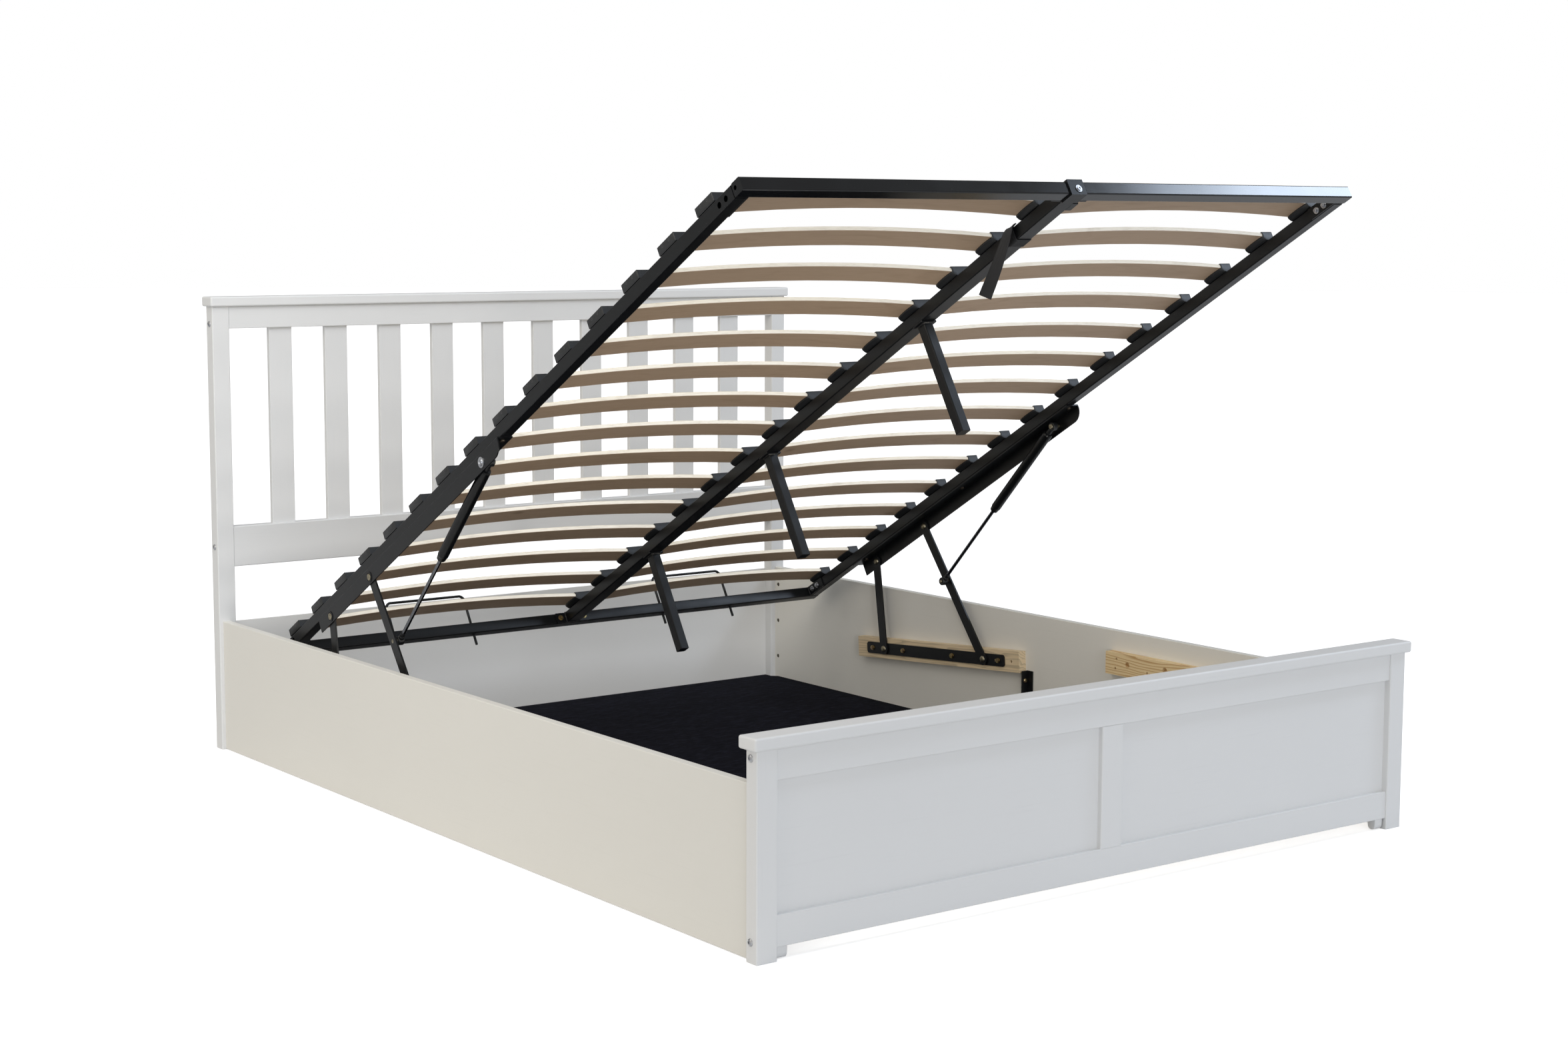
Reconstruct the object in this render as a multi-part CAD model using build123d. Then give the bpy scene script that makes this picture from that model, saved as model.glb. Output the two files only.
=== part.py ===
from build123d import *
import math
import os

os.makedirs("parts", exist_ok=True)

# Frame: the origin is on the floor under the middle of the bed, +Y runs to the headboard,
# +X to the right and +Z up. All lengths are in millimetres and all angles in degrees.

# Overall layout
HALF_WIDTH = 790.0          # middle of the bed to the outer face of a post
FOOT_FRONT = -1037.5        # front face of the foot posts
HEAD_BACK = 1036.5          # back face of the headboard posts
PANEL_INNER_X = 763.0       # inner face of a side panel
PANEL_THICKNESS = 18.0
PANEL_TOP = 292.0
PANEL_BOTTOM = 1.2
EASED_EDGE = 2.5            # rounding of the long timber edges

# Foot end
FOOT_POST_SIZE = (42.0, 30.0)
FOOT_POST_HEIGHT = 351.0
FOOT_TOP_RAIL_Z = (298.0, 351.0)
FOOT_BOTTOM_RAIL_Z = (22.0, 76.0)
FOOT_RAIL_SETBACK = 4.0
FOOT_RAIL_THICKNESS = 22.0
FOOT_PANEL_SETBACK = 14.0
FOOT_PANEL_THICKNESS = 8.0
FOOT_STILE_WIDTH = 51.0
GROOVE_DEPTH = 6.0
CAP_THICKNESS = 22.0
FOOT_CAP_DEPTH = 48.0
FOOT_CAP_FRONT_OVERHANG = 8.0
FOOT_CAP_END_OVERHANG = 9.0

# Headboard
HEAD_POST_SIZE = (40.5, 32.0)
HEAD_POST_HEIGHT = 997.0
HEAD_TOP_RAIL_Z = (948.0, 997.0)
HEAD_LOWER_RAIL_Z = (414.0, 505.0)
HEAD_RAIL_SETBACK = 1.5
HEAD_RAIL_THICKNESS = 26.0
HEAD_CAP_FRONT_OVERHANG = 9.5
HEAD_CAP_BACK_OVERHANG = 9.0
HEAD_CAP_END_OVERHANG = 6.0
HEAD_SLAT_COUNT = 10
HEAD_SLAT_PITCH = 138.2
HEAD_SLAT_SIZE = (56.0, 12.0)
HEAD_SLAT_FRONT = HEAD_BACK - 21.0
HEAD_PANEL_TOP = 286.0
HEAD_PANEL_THICKNESS = 8.0
FLOOR_CLEARANCE = 1.5
FLOOR_FOOT_GAP = 55.0

# Battens, base plates and pivots of the lift mechanism on the side panels
BATTEN_SIZE = (21.0, 49.5)
REAR_PIVOT = (519.7, 144.9)       # Y and Z of the rear link's lower pivot
FRONT_PIVOT = (153.2, 171.7)      # Y and Z of the front link's lower pivot
BATTEN_REACH = (-119.5, 474.5)    # ends of the batten, measured from the front pivot
PLATE_REACH = (-71.5, 436.5)      # ends of the base plate, measured from the front pivot
PLATE_SIZE = (3.0, 28.0)
PLATE_NUT_STATIONS = (113.9, 296.8, 413.9)
PLATE_SLOT_STATION = -45.0
PLATE_SLOT_NUT_STATION = -51.0
BATTEN_SPARE_HOLE_STATION = -93.0
FOOT_BATTEN_Y = (-937.5, -249.5)
FOOT_BATTEN_Z = (198.0, 247.5)

# Raised platform, drawn flat with X across, -Y toward the foot and Z away from the slats' underside
RAISED_ANGLE = 30.3
PLATFORM_HEAD_Y = 798.9
PLATFORM_HEAD_Z = 234.8
PLATFORM_HALF_WIDTH = 732.0
PLATFORM_LENGTH = 1988.6
TUBE = 25.0
TUBE_WALL = 1.5
TUBE_ROUNDING = 2.5
CENTRE_RAIL_WIDTH = 35.0
BRACKET_THICKNESS = 2.5
SIDE_RAIL_ENDS = (TUBE + BRACKET_THICKNESS, 1961.0)
LEG_STATIONS = (418.0, 928.0, 1504.0)
LEG_SIZE = 22.0
LEG_LENGTH = 233.0

# Sprung slats and their holders
TOWARD_FOOT = (0, -1, 0)
SLAT_COUNT = 15
FIRST_SLAT = 77.0
SLAT_PITCH = 128.7
SLAT_WIDTH = 52.0
SLAT_THICKNESS = 8.0
SLAT_END_HEIGHT = 33.5
SLAT_BOW = 15.0
SLAT_REACH = (10.0, 721.0)
HOLDER_LENGTH = 56.0
HOLDER_TOP = 44.8

# Lift linkage
UPPER_PIVOT_DEPTH = -18.2
REAR_UPPER_PIVOT = 276.3
FRONT_UPPER_PIVOT = 483.8
GAS_STATION = 1020.0
GAS_DEPTH = -16.5
GAS_LINK_SHARE = 0.585            # place of the ball stud along the front link
LINK_WIDTH = 24.0
LINK_THICKNESS = 4.0
LINK_END_RADIUS = 14.0
LINK_X = 734.6
FLANGE_X = (739.0, 741.5)
PIVOT_RADIUS = 4.0
RUNNING_FIT = 0.1
GAS_AXIS_X = 722.0
GAS_TUBE_RADIUS = 11.0
GAS_TUBE_LENGTH = 262.0
GAS_ROD_RADIUS = 4.0


def save(node, pieces):
    """Write all solids of one node to its own file."""
    solids = [solid for piece in pieces for solid in piece.solids()]
    export_step(Compound(solids), f"parts/{node}.step")


def block(x_ends, y_ends, z_ends):
    """A rectangular block between two corners."""
    sizes = [ends[1] - ends[0] for ends in (x_ends, y_ends, z_ends)]
    middle = [(ends[0] + ends[1]) / 2 for ends in (x_ends, y_ends, z_ends)]
    return Pos(*middle) * Box(*sizes)


def rail_across(half_length, y_ends, z_ends, rounding=EASED_EDGE):
    """A timber rail along X with rounded long edges."""
    section = Plane(
        origin=(-half_length, (y_ends[0] + y_ends[1]) / 2, (z_ends[0] + z_ends[1]) / 2),
        x_dir=(0, 1, 0),
        z_dir=(1, 0, 0),
    ) * RectangleRounded(y_ends[1] - y_ends[0], z_ends[1] - z_ends[0], rounding)
    return extrude(section, amount=2 * half_length)


def side_view(x):
    """The plane at one X whose own axes are Y and Z, looking along +X."""
    return Plane(origin=(x, 0, 0), x_dir=(0, 1, 0), z_dir=(1, 0, 0))


def both_sides(shape):
    """The right-hand piece and its mirror image on the left."""
    return [shape, shape.mirror(Plane.YZ)]


def turned(points, centre):
    """A turned pin along X from (x, radius) points, with its axis through a Y and Z centre."""
    outline = [(points[0][0], 0.0)] + list(points) + [(points[-1][0], 0.0)]
    section = make_face(Polyline(*outline, close=True))
    return Pos(0, *centre) * revolve(section, Axis.X)


def drilled(shape, x_ends, centre, radius):
    """The shape with a round hole along X through it."""
    hole = extrude(side_view(x_ends[0]) * Pos(*centre) * Circle(radius), amount=x_ends[1] - x_ends[0])
    return shape - hole


def hex_nut(x_start, direction, centre, across_flats=10.0):
    """A flanged hexagon nut with the bolt end standing out of it, facing -X or +X."""
    corner_radius = across_flats / math.sqrt(3)
    section = side_view(x_start) * Pos(*centre) * RegularPolygon(corner_radius, 6)
    nut = extrude(section, amount=4.0 * direction)
    washer = extrude(side_view(x_start) * Pos(*centre) * Circle(corner_radius + 0.3), amount=direction)
    stub = extrude(side_view(x_start) * Pos(*centre) * Circle(2.9), amount=5.0 * direction)
    return nut + washer + stub


def from_head(station):
    """The flat platform's Y at a distance from its head end."""
    return -station


def raised(pieces):
    """Turn flat platform pieces into their raised place over the bed frame."""
    place = Location((0, PLATFORM_HEAD_Y, PLATFORM_HEAD_Z), (-RAISED_ANGLE, 0, 0))
    return [place * piece for piece in pieces]


def raised_point(station, height):
    """Y and Z in the bed's frame of a point on the raised platform."""
    angle = math.radians(RAISED_ANGLE)
    y = PLATFORM_HEAD_Y - station * math.cos(angle) + height * math.sin(angle)
    z = PLATFORM_HEAD_Z + station * math.sin(angle) + height * math.cos(angle)
    return (y, z)


def along(start, end, share):
    """The point a share of the way from one Y and Z point to another."""
    return tuple(a + (b - a) * share for a, b in zip(start, end))


def distance(start, end):
    """The length between two Y and Z points."""
    return math.hypot(end[0] - start[0], end[1] - start[1])


def heading(start, end):
    """The angle of the line from one Y and Z point to another, from +Y toward +Z."""
    return math.degrees(math.atan2(end[1] - start[1], end[0] - start[0]))


# Foot posts, with a groove for the panels
foot_post_x = HALF_WIDTH - FOOT_POST_SIZE[0] / 2
foot_post_inner = HALF_WIDTH - FOOT_POST_SIZE[0]
foot_post_back = FOOT_FRONT + FOOT_POST_SIZE[1]
foot_panel_y = (FOOT_FRONT + FOOT_PANEL_SETBACK, FOOT_FRONT + FOOT_PANEL_SETBACK + FOOT_PANEL_THICKNESS)
foot_panel_z = (FOOT_BOTTOM_RAIL_Z[1] - GROOVE_DEPTH, FOOT_TOP_RAIL_Z[0] + GROOVE_DEPTH)
stile_half = FOOT_STILE_WIDTH / 2
foot_panel = block(
    (stile_half - GROOVE_DEPTH, foot_post_inner + GROOVE_DEPTH), foot_panel_y, foot_panel_z
)
foot_panels = both_sides(foot_panel)
foot_post = Pos(foot_post_x, FOOT_FRONT + FOOT_POST_SIZE[1] / 2) * extrude(
    RectangleRounded(*FOOT_POST_SIZE, EASED_EDGE), amount=FOOT_POST_HEIGHT
)
foot_post -= foot_panel
post_bolt_y = FOOT_FRONT + 17.0
foot_bolt_heights = (35.0, 337.0)
for height in foot_bolt_heights:
    foot_post = drilled(foot_post, (foot_post_inner, HALF_WIDTH), (post_bolt_y, height), 3.0)
save("foot_posts", both_sides(foot_post))

# Foot rails, panels, middle stile and cap
foot_rail_y = (FOOT_FRONT + FOOT_RAIL_SETBACK, FOOT_FRONT + FOOT_RAIL_SETBACK + FOOT_RAIL_THICKNESS)
foot_top_rail = rail_across(foot_post_inner, foot_rail_y, FOOT_TOP_RAIL_Z, 1.5)
foot_bottom_rail = rail_across(foot_post_inner, foot_rail_y, FOOT_BOTTOM_RAIL_Z, 1.5)
foot_stile = Pos(0, sum(foot_rail_y) / 2, FOOT_BOTTOM_RAIL_Z[1]) * extrude(
    RectangleRounded(FOOT_STILE_WIDTH, FOOT_RAIL_THICKNESS, EASED_EDGE),
    amount=FOOT_TOP_RAIL_Z[0] - FOOT_BOTTOM_RAIL_Z[1],
)
for panel in foot_panels:
    foot_top_rail -= panel
    foot_bottom_rail -= panel
    foot_stile -= panel
save("foot_top_rail", [foot_top_rail])
save("foot_bottom_rail", [foot_bottom_rail])
save("foot_stile", [foot_stile])
save("foot_panels", foot_panels)
foot_cap_y = (FOOT_FRONT - FOOT_CAP_FRONT_OVERHANG, FOOT_FRONT - FOOT_CAP_FRONT_OVERHANG + FOOT_CAP_DEPTH)
foot_cap_half = HALF_WIDTH + FOOT_CAP_END_OVERHANG
foot_cap = block(
    (-foot_cap_half, foot_cap_half), foot_cap_y, (FOOT_POST_HEIGHT, FOOT_POST_HEIGHT + CAP_THICKNESS)
)
save("foot_cap_rail", [fillet(foot_cap.edges(), 4.0)])

# Headboard posts, rails, slats, cap and the panel behind the storage space
head_post_inner = HALF_WIDTH - HEAD_POST_SIZE[0]
head_post_front = HEAD_BACK - HEAD_POST_SIZE[1]
head_post = Pos(HALF_WIDTH - HEAD_POST_SIZE[0] / 2, HEAD_BACK - HEAD_POST_SIZE[1] / 2) * extrude(
    RectangleRounded(*HEAD_POST_SIZE, EASED_EDGE), amount=HEAD_POST_HEIGHT
)
head_bolt_y = head_post_front + 15.0
head_bolt_heights = (459.5, 958.0)
for height in head_bolt_heights:
    head_post = drilled(head_post, (head_post_inner, HALF_WIDTH), (head_bolt_y, height), 3.0)
save("head_posts", both_sides(head_post))
head_rail_y = (head_post_front + HEAD_RAIL_SETBACK, head_post_front + HEAD_RAIL_SETBACK + HEAD_RAIL_THICKNESS)
save("head_top_rail", [rail_across(head_post_inner, head_rail_y, HEAD_TOP_RAIL_Z, 1.5)])
save("head_lower_rail", [rail_across(head_post_inner, head_rail_y, HEAD_LOWER_RAIL_Z)])
head_cap_half = HALF_WIDTH + HEAD_CAP_END_OVERHANG
head_cap = block(
    (-head_cap_half, head_cap_half),
    (head_post_front - HEAD_CAP_FRONT_OVERHANG, HEAD_BACK + HEAD_CAP_BACK_OVERHANG),
    (HEAD_POST_HEIGHT, HEAD_POST_HEIGHT + CAP_THICKNESS),
)
save("head_cap_rail", [fillet(head_cap.edges(), 4.0)])
head_slat = extrude(
    RectangleRounded(*HEAD_SLAT_SIZE, 1.5), amount=HEAD_TOP_RAIL_Z[0] - HEAD_LOWER_RAIL_Z[1]
)
head_slats = []
for index in range(HEAD_SLAT_COUNT):
    slat_x = (index - (HEAD_SLAT_COUNT - 1) / 2) * HEAD_SLAT_PITCH
    head_slats.append(Pos(slat_x, HEAD_SLAT_FRONT + HEAD_SLAT_SIZE[1] / 2, HEAD_LOWER_RAIL_Z[1]) * head_slat)
save("head_slats", head_slats)
head_panel_y = (HEAD_BACK - HEAD_PANEL_THICKNESS, HEAD_BACK)
save(
    "head_lower_panel",
    [block((-head_post_inner, head_post_inner), head_panel_y, (FLOOR_CLEARANCE, HEAD_PANEL_TOP))],
)

# Button-head bolts through the posts' outer faces
bolt_profile = [
    (HALF_WIDTH - 40.0, 3.0), (HALF_WIDTH, 3.0), (HALF_WIDTH, 6.5),
    (HALF_WIDTH + 1.2, 6.3), (HALF_WIDTH + 2.6, 4.6), (HALF_WIDTH + 3.2, 2.6),
    (HALF_WIDTH + 1.0, 2.3),
]
post_bolts = []
for bolt_y, heights in ((post_bolt_y, foot_bolt_heights), (head_bolt_y, head_bolt_heights)):
    for height in heights:
        post_bolts += both_sides(turned(bolt_profile, (bolt_y, height)))
save("post_bolts", post_bolts)

# Side panels with the barrel nuts of the headboard bolts
barrel_nut_y = head_post_front - 13.0
barrel_nut_heights = (58.0, 152.0, 247.0)
barrel_nut_depth = 12.0


def side_panel(side):
    """One side panel with its blind holes for the nuts; side is 1 on the right and -1 on the left."""
    thickness_ends = sorted((side * PANEL_INNER_X, side * (PANEL_INNER_X + PANEL_THICKNESS)))
    hole_ends = sorted((side * PANEL_INNER_X, side * (PANEL_INNER_X + barrel_nut_depth)))
    panel = block(thickness_ends, (foot_post_back, head_post_front), (PANEL_BOTTOM, PANEL_TOP))
    panel = fillet(panel.edges().filter_by(Axis.Y), 1.5)
    for height in barrel_nut_heights:
        panel = drilled(panel, hole_ends, (barrel_nut_y, height), 5.0)
    return panel


save("side_panel_right", [side_panel(1)])
save("side_panel_left", [side_panel(-1)])
barrel_nuts = []
for height in barrel_nut_heights:
    nut = extrude(
        side_view(PANEL_INNER_X + 0.8) * Pos(barrel_nut_y, height) * Circle(4.9),
        amount=barrel_nut_depth - 1.0,
    )
    slot = block(
        (PANEL_INNER_X + 0.8, PANEL_INNER_X + 2.0),
        (barrel_nut_y - 4.0, barrel_nut_y + 4.0),
        (height - 0.8, height + 0.8),
    )
    barrel_nuts += both_sides(nut - slot)
save("barrel_nuts", barrel_nuts)

# Storage floor of woven fabric
floor_z = (3.0, 5.0)
floor_front_y = max(foot_post_back, foot_rail_y[1] + FLOOR_FOOT_GAP)
save(
    "storage_floor",
    [
        block((-PANEL_INNER_X, PANEL_INNER_X), (floor_front_y, head_post_front), floor_z)
        + block((-head_post_inner, head_post_inner), (head_post_front - 1.0, head_panel_y[0]), floor_z)
    ],
)

# Battens that carry the lift mechanism, sloping down toward the headboard
batten_angle = heading(FRONT_PIVOT, REAR_PIVOT)
batten_front_x = PANEL_INNER_X - BATTEN_SIZE[0]


def batten_line(x):
    """The plane at one X with its own X axis along the sloping batten from the front pivot."""
    return side_view(x) * Pos(*FRONT_PIVOT) * Rot(0, 0, batten_angle)


def batten_point(station):
    """Y and Z of a point on the batten's middle line."""
    return along(FRONT_PIVOT, REAR_PIVOT, station / distance(FRONT_PIVOT, REAR_PIVOT))


batten_length = BATTEN_REACH[1] - BATTEN_REACH[0]
batten_section = batten_line(batten_front_x) * Pos(sum(BATTEN_REACH) / 2, 0) * Rectangle(
    batten_length, BATTEN_SIZE[1]
)
mechanism_batten = extrude(batten_section, amount=BATTEN_SIZE[0])
for pivot in (REAR_PIVOT, FRONT_PIVOT):
    mechanism_batten = drilled(mechanism_batten, (batten_front_x, batten_front_x + 5.0), pivot, 9.0)
spare_hole = batten_point(BATTEN_SPARE_HOLE_STATION)
mechanism_batten = drilled(mechanism_batten, (batten_front_x, PANEL_INNER_X), spare_hole, 3.5)
save("mechanism_battens", both_sides(mechanism_batten))

# Level battens toward the foot, with their cable and screw holes
foot_batten = block((batten_front_x, PANEL_INNER_X), FOOT_BATTEN_Y, FOOT_BATTEN_Z)
for hole_y, hole_z, hole_radius in (
    (-283.0, 233.5, 2.8), (-280.0, 213.0, 2.8), (-317.0, 225.0, 6.5), (-378.0, 216.0, 2.8), (-431.0, 229.5, 6.5)
):
    foot_batten = drilled(foot_batten, (batten_front_x, batten_front_x + 12.0), (hole_y, hole_z), hole_radius)
save("foot_battens", both_sides(foot_batten))

# Base plates with a slot at their foot end, and their nuts
plate_x = batten_front_x - PLATE_SIZE[0]
plate_length = PLATE_REACH[1] - PLATE_REACH[0]
plate_section = batten_line(plate_x) * (
    Pos(sum(PLATE_REACH) / 2, 0) * RectangleRounded(plate_length, PLATE_SIZE[1], 7.0)
    - Pos(PLATE_SLOT_STATION, 0) * SlotCenterToCenter(12.0, 7.0)
)
base_plate = extrude(plate_section, amount=PLATE_SIZE[0])
for pivot in (REAR_PIVOT, FRONT_PIVOT):
    base_plate = drilled(base_plate, (plate_x, batten_front_x), pivot, PIVOT_RADIUS + RUNNING_FIT)
save("base_plates", both_sides(base_plate))
plate_nuts = []
for station in PLATE_NUT_STATIONS + (PLATE_SLOT_NUT_STATION,):
    plate_nuts += both_sides(hex_nut(plate_x, -1, batten_point(station)))
save("base_plate_nuts", plate_nuts)

# Angle brackets standing on the side panels at the foot end of the battens, a bolt head on each fin
bracket_y = (7.5, 26.5)
bracket_z = (40.0, 161.0)
bracket_thickness = 3.0
bracket_fin_y = bracket_y[1] - bracket_thickness
bracket_leg = block((PANEL_INNER_X - bracket_thickness, PANEL_INNER_X), bracket_y, bracket_z)
bracket_fin = block((PANEL_INNER_X - 20.0, PANEL_INNER_X), (bracket_fin_y, bracket_y[1]), bracket_z)
panel_bracket = bracket_leg + bracket_fin
panel_bracket = fillet(panel_bracket.edges().filter_by(Axis.Z).sort_by(Axis.X)[0:2], 1.0)
save("panel_brackets", both_sides(panel_bracket))
bolt_head_outline = Polyline(
    (0.0, bracket_fin_y), (5.5, bracket_fin_y), (5.2, bracket_fin_y - 2.0), (3.4, bracket_fin_y - 3.2),
    (0.0, bracket_fin_y - 3.2), close=True,
)
bolt_head = revolve(make_face(bolt_head_outline), Axis.Y)
bracket_bolts = []
for height in (66.0, 138.5):
    bracket_bolts += both_sides(Pos(PANEL_INNER_X - 10.5, 0, height) * bolt_head)
save("panel_bracket_bolts", bracket_bolts)

# Platform frame of square tube
side_rail_section = RectangleRounded(TUBE, TUBE, TUBE_ROUNDING) - RectangleRounded(
    TUBE - 2 * TUBE_WALL, TUBE - 2 * TUBE_WALL, TUBE_ROUNDING - TUBE_WALL
)
tube_plane = Plane(origin=(0, 0, 0), x_dir=(1, 0, 0), z_dir=(0, -1, 0))
side_rail_x = PLATFORM_HALF_WIDTH - TUBE / 2
side_rail = extrude(
    tube_plane.offset(SIDE_RAIL_ENDS[0]) * Pos(side_rail_x, TUBE / 2) * side_rail_section,
    amount=SIDE_RAIL_ENDS[1] - SIDE_RAIL_ENDS[0],
)
corner_bolt_stations = ((43.0, 13.0), (65.0, 13.0), (1919.0, 11.0), (1940.0, 11.0))
rail_inner_x = PLATFORM_HALF_WIDTH - TUBE
for station, height in corner_bolt_stations:
    inner_wall = (rail_inner_x - 1.0, rail_inner_x + TUBE_WALL + 1.0)
    outer_wall = (PLATFORM_HALF_WIDTH - TUBE_WALL - 1.0, PLATFORM_HALF_WIDTH + 1.0)
    side_rail = drilled(side_rail, inner_wall, (from_head(station), height), 3.1)
    side_rail = drilled(side_rail, outer_wall, (from_head(station), height + 1.0), 5.5)
save("platform_side_rails", raised(both_sides(side_rail)))


def cross_tube(station_ends):
    """A tube across the platform's full width with closed ends."""
    shell = rail_across(
        PLATFORM_HALF_WIDTH, (from_head(station_ends[1]), from_head(station_ends[0])), (0.0, TUBE), TUBE_ROUNDING
    )
    hollow = rail_across(
        PLATFORM_HALF_WIDTH - TUBE_WALL,
        (from_head(station_ends[1] - TUBE_WALL), from_head(station_ends[0] + TUBE_WALL)),
        (TUBE_WALL, TUBE - TUBE_WALL),
        TUBE_ROUNDING - TUBE_WALL,
    )
    return shell - hollow


# Wire retainer bars stand in holes through the head rail
retainer_wire_radius = 3.0
retainer_x = (262.0, 462.0)
head_rail = cross_tube((0.0, TUBE))
for wire_x in retainer_x:
    for side in (-1, 1):
        head_rail -= Pos(side * wire_x, from_head(TUBE / 2), TUBE / 2) * Cylinder(retainer_wire_radius + 0.1, TUBE + 2)
foot_rail_station = PLATFORM_LENGTH - TUBE
foot_rail = cross_tube((foot_rail_station, PLATFORM_LENGTH))
foot_rail_end_hole = (from_head(foot_rail_station + 7.5), 14.0)
foot_rail = drilled(foot_rail, (PLATFORM_HALF_WIDTH - 3.0, PLATFORM_HALF_WIDTH + 1.0), foot_rail_end_hole, 4.0)
foot_rail = drilled(foot_rail, (-PLATFORM_HALF_WIDTH - 1.0, -PLATFORM_HALF_WIDTH + 3.0), foot_rail_end_hole, 4.0)
save("head_rail", raised([head_rail]))
save("foot_rail", raised([foot_rail]))

# Folded corner brackets on the ends of the head and foot rails
bracket_reach = 63.0
bracket_height = (1.0, TUBE - 1.0)
corner_brackets = []
for fold_ends, leg_ends in (
    ((TUBE, TUBE + BRACKET_THICKNESS), (TUBE, TUBE + bracket_reach)),
    (
        (foot_rail_station - BRACKET_THICKNESS, foot_rail_station),
        (foot_rail_station - bracket_reach, foot_rail_station),
    ),
):
    fold = block(
        (rail_inner_x - BRACKET_THICKNESS, PLATFORM_HALF_WIDTH - 1.0),
        (from_head(fold_ends[1]), from_head(fold_ends[0])),
        bracket_height,
    )
    leg = block(
        (rail_inner_x - BRACKET_THICKNESS, rail_inner_x),
        (from_head(leg_ends[1]), from_head(leg_ends[0])),
        bracket_height,
    )
    bracket = fold + leg
    for station, height in corner_bolt_stations:
        if leg_ends[0] < station < leg_ends[1]:
            bracket = drilled(
                bracket, (rail_inner_x - 4.0, rail_inner_x + 1.0), (from_head(station), height), 3.1
            )
    corner_brackets += both_sides(bracket)
save("corner_brackets", raised(corner_brackets))

corner_bolt_profile = [
    (rail_inner_x + TUBE_WALL + 3.4, 2.4), (rail_inner_x + TUBE_WALL + 3.0, 4.0), (rail_inner_x + TUBE_WALL, 5.0),
    (rail_inner_x + TUBE_WALL, 3.0), (rail_inner_x - BRACKET_THICKNESS, 3.0),
    (rail_inner_x - BRACKET_THICKNESS, 6.6), (rail_inner_x - BRACKET_THICKNESS - 1.2, 6.6),
    (rail_inner_x - BRACKET_THICKNESS - 1.2, 4.6), (rail_inner_x - BRACKET_THICKNESS - 5.0, 4.4),
    (rail_inner_x - BRACKET_THICKNESS - 5.0, 2.9), (rail_inner_x - BRACKET_THICKNESS - 6.5, 2.6),
]
corner_bolts = []
for station, height in corner_bolt_stations:
    corner_bolts += both_sides(turned(corner_bolt_profile, (from_head(station), height)))
save("corner_bolts", raised(corner_bolts))

# Centre rail with its end plates and their bolts
end_plate_thickness = 3.0
centre_rail_ends = (TUBE + end_plate_thickness, foot_rail_station - end_plate_thickness)
centre_section = RectangleRounded(CENTRE_RAIL_WIDTH, TUBE, TUBE_ROUNDING) - RectangleRounded(
    CENTRE_RAIL_WIDTH - 2 * TUBE_WALL, TUBE - 2 * TUBE_WALL, TUBE_ROUNDING - TUBE_WALL
)
centre_rail = extrude(
    tube_plane.offset(centre_rail_ends[0]) * Pos(0, TUBE / 2) * centre_section,
    amount=centre_rail_ends[1] - centre_rail_ends[0],
)
save("centre_rail", raised([centre_rail]))
end_plate_half = 45.0
end_plates = []
end_plate_bolts = []
end_bolt_x = 32.0
for face, outward in ((TUBE, 1), (foot_rail_station, -1)):
    plate_ends = sorted((from_head(face), from_head(face + outward * end_plate_thickness)))
    plate = block((-end_plate_half, end_plate_half), plate_ends, (0.5, TUBE - 0.5))
    end_plates.append(fillet(plate.edges().filter_by(Axis.Y), 3.0))
    bolt_plane = Plane(
        origin=(0, from_head(face + outward * end_plate_thickness), TUBE / 2),
        x_dir=(1, 0, 0),
        z_dir=(0, -outward, 0),
    )
    for side in (-1, 1):
        washer = extrude(bolt_plane * Pos(side * end_bolt_x, 0) * Circle(6.5), amount=1.0)
        head = extrude(bolt_plane * Pos(side * end_bolt_x, 0) * Circle(5.0), amount=3.6)
        socket = extrude(
            bolt_plane.offset(2.0) * Pos(side * end_bolt_x, 0) * RegularPolygon(2.2, 6), amount=2.0
        )
        end_plate_bolts.append(head + washer - socket)
save("centre_end_plates", raised(end_plates))
save("centre_end_bolts", raised(end_plate_bolts))

# Hooked bracket over the middle of the foot rail, with its bolt and side tab
hook_thickness = 3.0
hook_x = (-17.0, 20.0)
hook_face = PLATFORM_LENGTH + hook_thickness
hook = (
    block(hook_x, (from_head(hook_face), from_head(PLATFORM_LENGTH)), (-hook_thickness, TUBE + hook_thickness))
    + block(hook_x, (from_head(hook_face), from_head(foot_rail_station + 5.0)), (TUBE, TUBE + hook_thickness))
    + block(hook_x, (from_head(hook_face), from_head(foot_rail_station - 2.0)), (-hook_thickness, 0.0))
)
hook_tab = block((CENTRE_RAIL_WIDTH / 2, 31.0), (from_head(1953.0), from_head(1930.0)), (0.5, 3.5))
save("foot_hook_bracket", raised([hook, hook_tab]))
hook_bolt_plane = Plane(origin=(4.0, from_head(hook_face), 9.0), x_dir=(1, 0, 0), z_dir=(0, -1, 0))
hook_bolt = extrude(hook_bolt_plane * Circle(7.0), amount=1.2) + extrude(hook_bolt_plane * Circle(4.4), amount=3.0)
hook_bolt -= extrude(hook_bolt_plane.offset(1.8) * RegularPolygon(2.2, 6), amount=2.0)
save("foot_hook_bolt", raised([hook_bolt]))

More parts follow.
